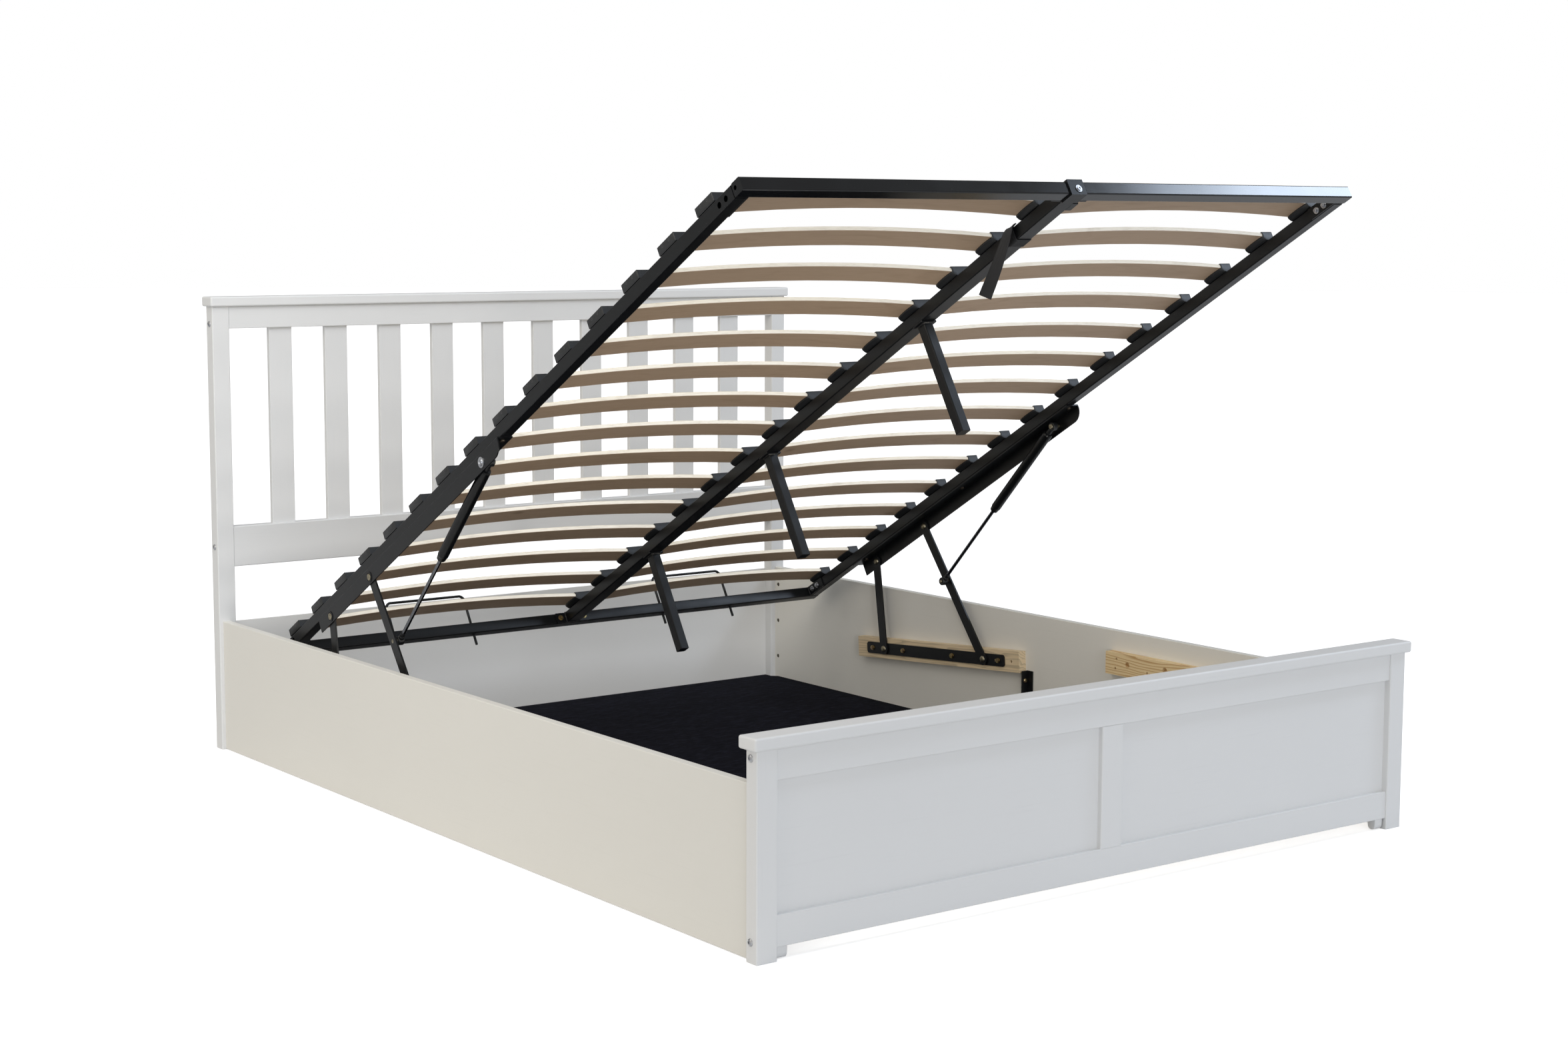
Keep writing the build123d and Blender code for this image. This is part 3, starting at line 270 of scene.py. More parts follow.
def bead(path, radius, ripple_length, closed=True, sides=8):
    """A weld bead along a path: a circle carried along it whose radius swells with two sines of the distance,
    one for the ripples and a shorter one for their unevenness."""
    path = np.asarray(path, dtype=float)
    if closed:
        tangent = np.roll(path, -1, axis=0) - np.roll(path, 1, axis=0)
    else:
        tangent = np.gradient(path, axis=0)
    tangent /= np.linalg.norm(tangent, axis=1, keepdims=True)
    steps = np.linalg.norm(np.diff(path, axis=0), axis=1)
    travelled = np.concatenate([[0.0], np.cumsum(steps)])
    helper = np.where(np.abs(tangent[:, 2:]) < 0.9, [[0.0, 0.0, 1.0]], [[1.0, 0.0, 0.0]])
    first = np.cross(tangent, helper)
    first /= np.linalg.norm(first, axis=1, keepdims=True)
    second = np.cross(tangent, first)
    turn = np.linspace(0.0, 2 * math.pi, sides, endpoint=False)[None, :, None]
    ripples = BEAD_RIPPLE * np.sin(2 * math.pi * travelled / ripple_length)
    uneven = BEAD_UNEVEN * np.sin(2 * math.pi * travelled / BEAD_UNEVEN_LENGTH)
    swell = radius * (1.0 + ripples + uneven)
    circle = np.cos(turn) * first[:, None] + np.sin(turn) * second[:, None]
    grid = path[:, None] + circle * swell[:, None, None]
    return np.concatenate([grid, grid[:1]]) if closed else grid


def densified(corners, step, closed=True):
    """Points a step apart along straight runs between corners."""
    corners = np.asarray(corners, dtype=float)
    if closed:
        corners = np.concatenate([corners, corners[:1]])
    lengths = np.linalg.norm(np.diff(corners, axis=0), axis=1)
    travelled = np.concatenate([[0.0], np.cumsum(lengths)])
    count = max(4, int(travelled[-1] / step))
    at = np.linspace(0.0, travelled[-1], count, endpoint=not closed)
    return np.stack([np.interp(at, travelled, corners[:, k]) for k in range(3)], axis=-1)


# Materials


class Finish:
    """One procedural material, with short calls that add its nodes and join them. Its patterns lie in the
    piece's own coordinates, counted from an origin and turned about X by a slope."""

    def __init__(self, name, origin=(0.0, 0.0, 0.0), slope=0.0):
        self.material = bpy.data.materials.new(name)
        self.material.use_nodes = True
        self.nodes = self.material.node_tree.nodes
        self.links = self.material.node_tree.links
        self.shader = self.nodes["Principled BSDF"]
        self.origin = origin
        self.slope = slope
        self.plain = self.place()

    def feed(self, socket, value):
        """Joins a socket to another, or sets its number or colour."""
        if isinstance(value, bpy.types.NodeSocket):
            self.links.new(value, socket)
        elif socket.type == "RGBA" and len(value) == 3:
            socket.default_value = (*value, 1.0)
        else:
            socket.default_value = value

    def node(self, kind, inputs=None, **settings):
        """A new node with its settings and inputs."""
        made = self.nodes.new(kind)
        for key, value in settings.items():
            setattr(made, key, value)
        for key, value in (inputs or {}).items():
            self.feed(made.inputs[key], value)
        return made

    def place(self, stretch=(1.0, 1.0, 1.0)):
        """The pattern's coordinates, stretched along each axis."""
        coordinates = self.node("ShaderNodeTexCoord").outputs["Object"]
        return self.node(
            "ShaderNodeMapping",
            {"Vector": coordinates, "Location": self.origin, "Rotation": (self.slope, 0.0, 0.0),
             "Scale": stretch},
            vector_type="TEXTURE",
        ).outputs["Vector"]

    def split(self, vector):
        """The three parts of a vector."""
        parts = self.node("ShaderNodeSeparateXYZ", {"Vector": vector}).outputs
        return parts["X"], parts["Y"], parts["Z"]

    def math(self, operation, *values):
        """One arithmetic step."""
        made = self.node("ShaderNodeMath", operation=operation)
        for socket, value in zip(made.inputs, values):
            self.feed(socket, value)
        return made.outputs[0]

    def times(self, first, second):
        """The product of two numbers."""
        return self.math("MULTIPLY", first, second)

    def plus(self, first, second):
        """The sum of two numbers."""
        return self.math("ADD", first, second)

    def minus(self, first, second):
        """The first number less the second."""
        return self.math("SUBTRACT", first, second)

    def size(self, value):
        """A number without its sign."""
        return self.math("ABSOLUTE", value)

    def noise(self, size, detail=3.0, roughness=0.5, distortion=0.0, where=None):
        """Soft noise whose features are about one size across."""
        return self.node(
            "ShaderNodeTexNoise",
            {"Vector": self.plain if where is None else where, "Scale": 1.0 / size, "Detail": detail,
             "Roughness": roughness, "Distortion": distortion},
        ).outputs["Fac"]

    def cells(self, size, where=None):
        """Distance to scattered points about one size apart."""
        where = self.plain if where is None else where
        return self.node("ShaderNodeTexVoronoi", {"Vector": where, "Scale": 1.0 / size}).outputs["Distance"]

    def between(self, factor, low, high):
        """A number that goes from low to high as the factor goes from 0 to 1."""
        return self.node(
            "ShaderNodeMapRange", {"Value": factor, "To Min": low, "To Max": high}
        ).outputs["Result"]

    def step_up(self, value, start, end):
        """0 before start and 1 after end, with a smooth rise between."""
        return self.node(
            "ShaderNodeMapRange",
            {"Value": value, "From Min": start, "From Max": end},
            interpolation_type="SMOOTHSTEP",
        ).outputs["Result"]

    def mix(self, factor, first, second, blend="MIX"):
        """Two colours mixed by a factor."""
        made = self.node("ShaderNodeMix", data_type="RGBA", blend_type=blend)
        self.feed(made.inputs[0], factor)
        self.feed(made.inputs[6], first)
        self.feed(made.inputs[7], second)
        return made.outputs[2]

    def tint(self, base, mask, amount, colour):
        """A base that takes an amount of a colour where a mask is 1."""
        return self.mix(self.times(mask, amount), base, colour)

    def relief(self, height, depth, below=None):
        """Shading of a height from 0 to 1 that stands for a depth in metres."""
        inputs = {"Height": height, "Distance": depth, "Strength": 1.0}
        if below is not None:
            inputs["Normal"] = below
        return self.node("ShaderNodeBump", inputs).outputs["Normal"]

    def finish(self, base, rough, bumps=None, **sockets):
        """Sets the shader's colour, roughness, relief and other sockets by name, and gives the material."""
        sockets.update(Base_Color=base, Roughness=rough)
        if bumps is not None:
            sockets["Normal"] = bumps
        for key, value in sockets.items():
            self.feed(self.shader.inputs[key.replace("_", " ")], value)
        return self.material


def paint_finish(name, along, colour):
    """Satin white paint: roller texture, grain lines along the timber that print faintly through, and soft
    shifts of tone."""
    mat = Finish(name)
    tone = mat.noise(0.34, 2.0)
    lengthened = mat.place([28.0 if axis == along else 1.0 for axis in range(3)])
    grain = mat.noise(0.0055, 4.0, 0.62, 0.3, lengthened)
    roller = mat.noise(0.0016, 2.0, 0.6)
    base = mat.mix(tone, scaled(colour, 0.965), colour)
    base = mat.tint(base, mat.step_up(grain, 0.56, 0.74), 0.22, scaled(colour, 0.90))
    base = mat.tint(base, mat.step_up(mat.cells(0.021), 0.045, 0.02), 0.10, scaled(colour, 0.7))
    return mat.finish(
        base, mat.between(roller, 0.34, 0.50),
        mat.relief(grain, 0.00006, mat.relief(roller, 0.00005)), Specular_IOR_Level=0.45,
    )


def board_finish(name, colour):
    """Flat paper-faced board: even tone with a fine felt of fibres."""
    mat = Finish(name)
    fibres = mat.noise(0.0018, 3.0, 0.6, where=mat.place((6.0, 1.0, 1.0)))
    base = mat.mix(mat.noise(0.5, 2.0), scaled(colour, 0.97), scaled(colour, 1.02))
    base = mat.tint(base, fibres, 0.06, scaled(colour, 0.8))
    return mat.finish(base, mat.between(fibres, 0.62, 0.78), mat.relief(fibres, 0.00003))


def pine_finish(name, pale, dark, slope, height):
    """Unpainted pine: bands of growth rings that run along the batten and bend round small knots."""
    mat = Finish(name, (0.0, 0.0, height), slope)
    warp = mat.noise(0.030, 2.0, where=mat.place((1.0, 9.0, 1.0)))
    fine = mat.noise(0.0016, 3.0, 0.6, where=mat.place((1.0, 22.0, 1.0)))
    knots = mat.cells(0.062, mat.place((1.0, 3.2, 1.0)))
    x, _, z = mat.split(mat.plain)
    rings = mat.plus(mat.times(z, 120.0), mat.times(warp, 5.5))
    rings = mat.plus(rings, mat.times(x, 60.0))
    rings = mat.plus(rings, mat.times(mat.step_up(knots, 0.30, 0.0), 1.3))
    band = mat.math("FRACT", rings)
    late = mat.times(mat.step_up(band, 0.45, 0.92), mat.step_up(band, 1.0, 0.94))
    base = mat.tint(pale, late, 0.85, dark)
    base = mat.tint(base, fine, 0.30, scaled(pale, 0.86))
    base = mat.mix(mat.step_up(knots, 0.085, 0.05), base, scaled(dark, 0.32))
    base = mat.tint(base, mat.step_up(knots, 0.14, 0.07), 0.45, dark)
    bumps = mat.relief(fine, 0.00008, mat.relief(late, 0.00010))
    return mat.finish(base, mat.between(fine, 0.50, 0.70), bumps)


def steel_finish(name, colour, gloss, on_platform=True, sheen=0.30, skin=0.000035):
    """Powder-coated steel: fine orange-peel skin, uneven gloss, faint scuffs along the tube and pale dust."""
    mat = Finish(name, *(ON_PLATFORM if on_platform else ()))
    peel = mat.noise(0.0011, 2.0, 0.5)
    broad = mat.noise(0.09, 3.0)
    scuffs = mat.noise(0.0028, 4.0, 0.7, where=mat.place((1.0, 34.0, 1.0)))
    worn = mat.times(mat.step_up(scuffs, 0.68, 0.80), mat.step_up(broad, 0.50, 0.68))
    base = mat.mix(broad, scaled(colour, 0.75), scaled(colour, 1.25))
    base = mat.tint(base, worn, 0.30, shade(92, 94, 98))
    base = mat.tint(base, mat.step_up(mat.cells(0.013), 0.07, 0.03), 0.12, shade(150, 150, 148))
    rough = mat.plus(mat.between(broad, gloss - 0.05, gloss + 0.07), mat.times(peel, 0.05))
    return mat.finish(base, rough, mat.relief(peel, skin), Specular_IOR_Level=sheen)


def weld_finish(name):
    """Weld beads under the coat: the black skin is thin, with burnt brown and bare grey showing through."""
    mat = Finish(name, *ON_PLATFORM)
    fine = mat.noise(0.0012, 3.0, 0.7)
    bare = mat.step_up(mat.noise(0.006, 4.0, 0.7), 0.50, 0.66)
    base = mat.mix(bare, shade(26, 27, 28), shade(120, 116, 104))
    base = mat.tint(base, mat.step_up(fine, 0.55, 0.7), 0.6, shade(70, 58, 42))
    return mat.finish(
        base, mat.between(fine, 0.30, 0.62), mat.relief(fine, 0.00022), Metallic=mat.times(bare, 0.6),
    )


def plastic_finish(name, colour, marked):
    """Moulded black plastic: spark-eroded speckle and flow lines. A marked one has two small pin marks with
    rims on each outer face, told by the distance from the marks' centres. The pin pits are drawn near
    black, which is painted shade, and their rims lighter, which is a painted highlight."""
    mat = Finish(name, *ON_PLATFORM)
    speckle = mat.noise(0.0009, 3.0, 0.65)
    flow = mat.noise(0.012, 2.0, 0.5, 1.2, where=mat.place((1.0, 5.0, 1.0)))
    base = mat.mix(flow, scaled(colour, 0.8), scaled(colour, 1.25))
    pale = mat.step_up(mat.noise(0.0022, 2.0, 0.6), 0.62, 0.72)
    base = mat.tint(base, pale, 0.16, shade(96, 100, 106))
    bumps = mat.relief(speckle, 0.00007)
    if marked:
        x, y, z = mat.split(mat.plain)
        offset = mat.math("MODULO", mat.minus(SLAT_PITCH / 2 - FIRST_SLAT, y), SLAT_PITCH)
        aside = mat.minus(mat.size(mat.minus(offset, SLAT_PITCH / 2)), PIN_ASIDE)
        above = mat.minus(z, PIN_HEIGHT)
        reach = mat.math("SQRT", mat.plus(mat.times(aside, aside), mat.times(above, above)))
        outer = mat.step_up(mat.size(x), 0.7285, 0.7292)
        pin = mat.times(mat.step_up(reach, 0.0016, 0.0011), outer)
        painted_rim_highlight = mat.times(mat.step_up(mat.size(mat.minus(reach, 0.0018)), 0.0005, 0.0001), outer)
        # Painted shade: the pin pits are drawn near black. Painted highlight: a lighter ring on their rims.
        base = mat.mix(pin, base, (0.0015, 0.0015, 0.0015))
        base = mat.tint(base, painted_rim_highlight, 0.35, shade(120, 120, 122))
        bumps = mat.relief(mat.minus(1.0, pin), 0.0008, bumps)
    return mat.finish(base, mat.between(speckle, 0.36, 0.55), bumps)


def slat_finish(name, top, under, edge):
    """Bowed birch plywood: face veneers with grain along the slat, and the glued plies on its long edges. The
    ply is told from the height over the arch of the underside, and each slat has its own tone. The
    underside takes a darker colour than the top, which is painted shade on the same veneer."""
    mat = Finish(name, *ON_PLATFORM)
    x, y, z = mat.split(mat.plain)
    share = mat.math("DIVIDE", mat.minus(mat.size(x), SLAT_MIDDLE_X), SLAT_HALF_LENGTH)
    arch = mat.times(mat.minus(1.0, mat.times(share, share)), SLAT_BOW)
    depth = mat.minus(mat.minus(z, arch), SLAT_END_HEIGHT)
    slot = mat.math("FLOOR", mat.math("DIVIDE", mat.minus(SLAT_PITCH / 2 - FIRST_SLAT, y), SLAT_PITCH))
    which = mat.node("ShaderNodeCombineXYZ", {"X": slot, "Y": mat.math("SIGN", x)}).outputs[0]
    own = mat.node("ShaderNodeTexWhiteNoise", {"Vector": which}, noise_dimensions="3D").outputs
    shifted = mat.node("ShaderNodeVectorMath", {0: mat.plain, 1: own["Color"]}, operation="ADD").outputs[0]

    def drawn_out(length):
        """The slat's own coordinates, in which a pattern is that many times longer along the grain."""
        scale = (1.0 / length, 1.0, 1.0)
        return mat.node("ShaderNodeMapping", {"Vector": shifted, "Scale": scale}).outputs["Vector"]

    long_grain = drawn_out(26.0)
    grain = mat.noise(0.0028, 4.0, 0.62, 0.6, where=long_grain)
    pores = mat.noise(0.0009, 2.0, 0.7, where=long_grain)
    figure = mat.noise(0.030, 3.0, 0.5, 1.4, where=drawn_out(5.0))
    knot = mat.step_up(mat.cells(0.105, drawn_out(2.2)), 0.10, 0.03)
    lower = mat.step_up(depth, 0.0006, 0.0002)
    upper = mat.step_up(depth, 0.0074, 0.0078)
    # The underside's darker colour is painted shade: it is the same birch veneer as the top.
    faces = mat.mix(upper, mat.mix(lower, edge, under), top)
    faces = mat.tint(faces, mat.step_up(figure, 0.50, 0.72), 0.15, shade(120, 96, 72))
    faces = mat.tint(faces, mat.step_up(grain, 0.45, 0.75), 0.105, shade(100, 80, 60))
    faces = mat.tint(faces, knot, 0.35, shade(88, 70, 50))
    plies = mat.math("FRACT", mat.math("DIVIDE", depth, PLY_THICKNESS))
    end_ply = mat.times(mat.step_up(plies, 0.50, 0.56), mat.step_up(plies, 1.0, 0.94))
    glue = mat.step_up(mat.size(mat.minus(plies, 0.5)), 0.07, 0.02)
    on_edge = mat.minus(1.0, mat.math("MAXIMUM", lower, upper))
    splinter = mat.times(mat.step_up(pores, 0.50, 0.72), 0.35)
    streaks = mat.times(on_edge, mat.plus(mat.times(end_ply, 0.22), splinter))
    faces = mat.mix(streaks, faces, shade(176, 158, 132))
    faces = mat.tint(faces, mat.times(glue, on_edge), 0.30, shade(140, 112, 84))
    yellowed = mat.mix(1.0, faces, (0.86, 0.80, 0.66), "MULTIPLY")
    toned = mat.mix(mat.between(own["Value"], 0.0, 0.30), faces, yellowed)
    bumps = mat.relief(grain, 0.00010, mat.relief(pores, 0.00006))
    return mat.finish(toned, mat.between(grain, 0.48, 0.68), bumps)


def metal_finish(name, colour, tint, roughness):
    """Plated steel: brushed sheen with cloudy plating and small dull spots."""
    mat = Finish(name)
    cloud = mat.noise(0.006, 3.0, 0.6)
    fine = mat.noise(0.0007, 2.0, 0.6)
    base = mat.mix(mat.step_up(cloud, 0.35, 0.68), colour, tint)
    rough = mat.between(cloud, roughness - 0.06, roughness + 0.12)
    return mat.finish(base, rough, mat.relief(fine, 0.00002), Metallic=1.0)


def weave_finish(name, colour, thread, slub):
    """Plain-woven cloth: warp and weft threads pass over and under each other, told by the product of two
    sines, with streaks where a thread is thicker or thinner. The colour follows the threads' height,
    lighter on the crests and darker in the dips: painted highlight and painted shade."""
    mat = Finish(name)
    x, y, _ = mat.split(mat.plain)
    wander = mat.times(mat.noise(0.05, 2.0), 9.0)
    across = mat.math("SINE", mat.times(x, 2 * math.pi / (4.5 * thread)))
    along = mat.math("SINE", mat.plus(mat.times(y, math.pi / thread), wander))
    crossing = mat.plus(mat.times(mat.times(across, along), 0.5), 0.5)
    slubs = mat.noise(slub, 4.0, 0.65, where=mat.place((9.0, 1.0, 1.0)))
    fuzz = mat.noise(0.0009, 2.0, 0.7)
    # Painted highlight and shade: the colour follows the weave's height, lighter on crests and darker in dips.
    base = mat.mix(crossing, scaled(colour, 0.55), scaled(colour, 1.35))
    base = mat.tint(base, mat.step_up(slubs, 0.48, 0.70), 0.85, scaled(colour, 3.0))
    base = mat.tint(base, mat.step_up(slubs, 0.46, 0.30), 0.75, scaled(colour, 0.35))
    bumps = mat.relief(crossing, 0.0004, mat.relief(slubs, 0.0005, mat.relief(fuzz, 0.0001)))
    return mat.finish(base, mat.between(slubs, 0.82, 0.97), bumps, Specular_IOR_Level=0.03)


def webbing_finish(name, colour, strap_width):
    """Narrow nylon webbing: cross ribs one thread apart, herringbone rows and tight selvedges, along the
    strap's own length and width. The ribs' crests are drawn lighter and their troughs darker, which is
    painted highlight and painted shade."""
    mat = Finish(name)
    along = mat.node("ShaderNodeAttribute", attribute_name="strap_length").outputs["Fac"]
    across = mat.node("ShaderNodeAttribute", attribute_name="strap_width").outputs["Fac"]
    chevron = mat.math("PINGPONG", across, strap_width / 8)
    ribs = mat.math("SINE", mat.times(mat.plus(along, chevron), 2 * math.pi / WEBBING_RIB))
    ribs = mat.plus(mat.times(ribs, 0.5), 0.5)
    edge = mat.step_up(mat.size(across), strap_width * 0.42, strap_width * 0.46)
    fuzz = mat.noise(0.0008, 3.0, 0.7)
    # Painted highlight and shade: the colour follows the ribs' height, lighter on crests and darker in troughs.
    base = mat.mix(ribs, scaled(colour, 0.5), scaled(colour, 1.5))
    base = mat.tint(base, edge, 0.4, scaled(colour, 1.8))
    bumps = mat.relief(ribs, 0.00030, mat.relief(fuzz, 0.00008))
    return mat.finish(base, mat.between(ribs, 0.55, 0.78), bumps)


def dress(nodes, material):
    """Gives a finish to CAD nodes by name."""
    for name in nodes:
        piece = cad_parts[name]
        if piece.material_slots:
            for holder in piece.material_slots:
                holder.material = material
        else:
            piece.data.materials.append(material)


def settle(piece, body, material):
    """Finishes a new piece and lets it ride on a body."""
    piece.data.materials.append(material)
    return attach(piece, body)


# Sizes and colours that a user may change


def colour_setting(label, note, value):
    """A colour setting with its default."""
    return bpy.props.FloatVectorProperty(
        name=label, description=note, subtype="COLOR", size=3, min=0.0, max=1.0, default=value
    )


def length_setting(label, note, value, high=0.2):
    """A length setting in metres with its default."""
    return bpy.props.FloatProperty(
        name=label, description=note, subtype="DISTANCE", unit="LENGTH", min=0.0, max=high, default=value
    )


def strength_setting(label, note, value):
    """A light's strength with its default."""
    return bpy.props.FloatProperty(name=label, description=note, min=0.0, default=value)


class BedFinishSettings(bpy.types.PropertyGroup):
    """Colours of the bed's finishes."""

    paint: colour_setting("Paint", "Satin paint on the bed frame", (0.74, 0.74, 0.735))
    side_board: colour_setting("Side board", "Warmer white foil of the side panels", (0.765, 0.745, 0.690))
    back_board: colour_setting("Back board", "Paper-faced board under the headboard", (0.80, 0.79, 0.765))
    coat: colour_setting("Powder coat", "Coat on the steel platform and linkage", (0.0055, 0.0060, 0.0066))
    plastic: colour_setting("Plastic", "Moulded slat holders", (0.013, 0.014, 0.015))
    veneer: colour_setting("Veneer", "Upper face of the slats", shade(226, 208, 176))
    # Painted shade: the slats' underside is the same birch as the top, drawn darker.
    veneer_under_painted_shade: colour_setting("Underside veneer", "Lower face of the slats", shade(173, 149, 125))
    ply_edge: colour_setting("Ply edge", "Long edges of the slats", shade(250, 244, 230))
    pine: colour_setting("Pine", "Battens of the lift mechanism", shade(224, 202, 166))
    pine_yellow: colour_setting("Yellow pine", "Level battens toward the foot", shade(232, 207, 160))
    cloth: colour_setting("Cloth", "Woven floor of the storage space", (0.0080, 0.0082, 0.0125))
    webbing: colour_setting("Webbing", "Pull strap", (0.010, 0.010, 0.011))


class BedSizeSettings(bpy.types.PropertyGroup):
    """Sizes of the small details."""

    lip: length_setting("Holder lip", "Bulge of the holders' lower lip under a slat", 0.005, 0.02)
    thread: length_setting("Thread", "Thread spacing of the storage floor's weave", 0.0013, 0.01)
    ripple: length_setting("Ripple", "Height of the soft waves in the storage floor", 0.0006, 0.002)
    strap_width: length_setting("Strap width", "Width of the pull strap", 0.025, 0.06)
    strap_thickness: length_setting("Strap thickness", "Thickness of the pull strap", 0.0016, 0.004)
    bead_radius: length_setting("Weld bead", "Radius of the weld beads", 0.0019, 0.005)


class BedStudioSettings(bpy.types.PropertyGroup):
    """Studio light and floor."""

    ambient: strength_setting("Ambient", "Even light from all sides", 0.30)
    left_sun: strength_setting("Left light", "Warm soft light from the left", 0.66)
    front_sun: strength_setting("Front light", "Cool soft light from the foot end", 1.10)
    top_sun: strength_setting("Top light", "Cool soft light from above", 0.72)
    head_lamp: strength_setting("Head light", "Lamp above the headboard's left half", 15.0)
    inner_lamp: strength_setting("Inner light", "Lamp behind the foot end for the storage space", 2.5)
    window: strength_setting("Window light", "Cool panels that the glossy coat mirrors", 27.0)
    floor: colour_setting("Floor", "Plain floor under the bed", (0.80, 0.80, 0.80))


# Operators


class BED_OT_studio(bpy.types.Operator):
    """Camera at the photographed viewpoint, pale floor and plain soft light"""

    bl_idname = "bed.studio"
    bl_label = "Studio"

    def execute(self, context):
        settings = context.scene.bed_studio
        self.place_camera(context)
        self.light_world(context, settings)
        self.hang_lamps(context, settings)
        self.lay_floor(settings)
        context.scene.view_settings.view_transform = "Standard"
        return {"FINISHED"}

    def place_camera(self, context):
        """The camera looks along its yaw and pitch, then rolls about its own axis."""
        lens = bpy.data.cameras.new("photo_camera")
        lens.lens = CAMERA_LENS
        lens.sensor_width = 36.0
        lens.clip_end = 100.0
        camera = bpy.data.objects.new("photo_camera", lens)
        context.scene.collection.objects.link(camera)
        place = Matrix.Translation(CAMERA_PLACE)
        for angle, axis in ((-CAMERA_YAW, "Z"), (90.0 + CAMERA_PITCH, "X"), (CAMERA_ROLL, "Z")):
            place = place @ Matrix.Rotation(math.radians(angle), 4, axis)
        camera.matrix_world = place
        context.scene.camera = camera

    def light_world(self, context, settings):
        """Even light all round, and plain white where the camera sees past the floor."""
        world = bpy.data.worlds.new("studio")
        context.scene.world = world
        world.use_nodes = True
        nodes, links = world.node_tree.nodes, world.node_tree.links
        nodes.clear()
        joined = nodes.new("ShaderNodeMixShader")
        links.new(nodes.new("ShaderNodeLightPath").outputs["Is Camera Ray"], joined.inputs[0])
        for socket, strength in zip(joined.inputs[1:], (settings.ambient, 1.0)):
            light = nodes.new("ShaderNodeBackground")
            light.inputs["Color"].default_value = (1.0, 1.0, 1.0, 1.0)
            light.inputs["Strength"].default_value = strength
            links.new(light.outputs[0], socket)
        links.new(joined.outputs[0], nodes.new("ShaderNodeOutputWorld").inputs["Surface"])

    def hang_lamps(self, context, settings):
        """Broad suns, and square panels that the camera itself doesn't see."""
        for name, setting, colour, toward, spread in SUNS:
            lamp = bpy.data.lights.new(name, "SUN")
            lamp.angle = math.radians(spread)
            self.hang(context, lamp, getattr(settings, setting), colour, (0.0, 0.0, 0.0), toward, LEVEL)
        for name, setting, share, colour, centre, toward, across, size in PANELS:
            lamp = bpy.data.lights.new(name, "AREA")
            lamp.shape = "SQUARE"
            lamp.size = size
            self.hang(context, lamp, share * getattr(settings, setting), colour, centre, toward, across)

    def hang(self, context, lamp, energy, colour, centre, toward, across):
        """A lamp at a centre that is seen from the bed in one direction, with one side along another."""
        lamp.energy = energy
        lamp.color = shade(*colour)
        hung = bpy.data.objects.new(lamp.name, lamp)
        context.scene.collection.objects.link(hung)
        toward = Vector(toward).normalized()
        across = Vector(across)
        across = (across - toward * across.dot(toward)).normalized()
        rotation = Matrix((across, toward.cross(across), toward)).transposed().to_4x4()
        hung.matrix_world = Matrix.Translation(centre) @ rotation
        hung.visible_camera = False

    def lay_floor(self, settings):
        """A wide disc on the floor level, which only the camera sees brighter."""
        turn = np.linspace(0.0, 2 * math.pi, 96, endpoint=False)
        reach = np.array([[FLOOR_REACH], [0.02]])
        level = np.full((2, len(turn)), -0.0005)
        grid = np.stack([reach * np.cos(turn), reach * np.sin(turn), level], axis=-1)
        floor = surface_object("studio_floor", [grid], capped=False)
        mat = Finish("studio_floor_paint")
        seen = mat.node("ShaderNodeLightPath").outputs["Is Camera Ray"]
        bright = mat.mix(mat.noise(0.8, 2.0), (0.985, 0.985, 0.985), (1.0, 1.0, 1.0))
        floor.data.materials.append(mat.finish(
            mat.mix(seen, settings.floor, bright), 0.9, Specular_IOR_Level=0.0,
            Emission_Color=(1.0, 1.0, 1.0), Emission_Strength=mat.between(seen, 0.0, FLOOR_LIFT),
        ))


class BED_OT_painted_frame(bpy.types.Operator):
    """Paint on the posts, rails, panels and headboard, with the small cleat behind the foot post"""

    bl_idname = "bed.painted_frame"
    bl_label = "Painted frame"

    def execute(self, context):
        colours = context.scene.bed_finishes
        paint = colours.paint
        across = paint_finish("paint_across", 0, paint)
        lengthwise = paint_finish("foil_lengthwise", 1, colours.side_board)
        upright = paint_finish("paint_upright", 2, paint)
        dress(("foot_cap_rail", "foot_top_rail", "foot_bottom_rail", "foot_panels", "head_cap_rail",
               "head_top_rail", "head_lower_rail"), across)
        dress(("side_panel_left", "side_panel_right"), lengthwise)
        dress(("foot_posts", "foot_stile", "head_posts", "head_slats"), upright)
        dress(("head_lower_panel",), board_finish("back_board", colours.back_board))
        self.add_cleats(upright)
        return {"FINISHED"}

    def add_cleats(self, material):
        """Two small glued cleats behind the foot rail: a rounded block whose lower front edge is cut back."""
        levels = np.array([0.0012, 0.0022, 0.006, 0.012, 0.0225, 0.0229])
        inset = np.array([0.0014, 0.0, 0.0, 0.0, 0.0, 0.0006])
        depth = np.array([0.004, 0.0055, 0.0085, 0.0095, 0.0095, 0.0095]) - inset
        right = stacked_rings(0.0105 - inset, depth, levels, 0.0012) + np.array([0.7335, -1.0210, 0.0])
        piece = surface_object("foot_cleats", [right, right * MIRROR], 35.0)
        settle(piece, "bed_frame", material)


class BED_OT_battens(bpy.types.Operator):
    """Unpainted pine on the battens of the lift mechanism"""

    bl_idname = "bed.battens"
    bl_label = "Pine battens"

    def execute(self, context):
        colours = context.scene.bed_finishes
        pine = colours.pine
        red, green, blue = colours.pine_yellow
        dark = (red * 0.58, green * 0.38, blue * 0.22)
        sloping = pine_finish("pine_sloping", pine, scaled(pine, 0.62), -0.0731, 0.183)
        dress(("mechanism_battens",), sloping)
        dress(("foot_battens",), pine_finish("pine_level", colours.pine_yellow, dark, 0.0, 0.2))
        return {"FINISHED"}


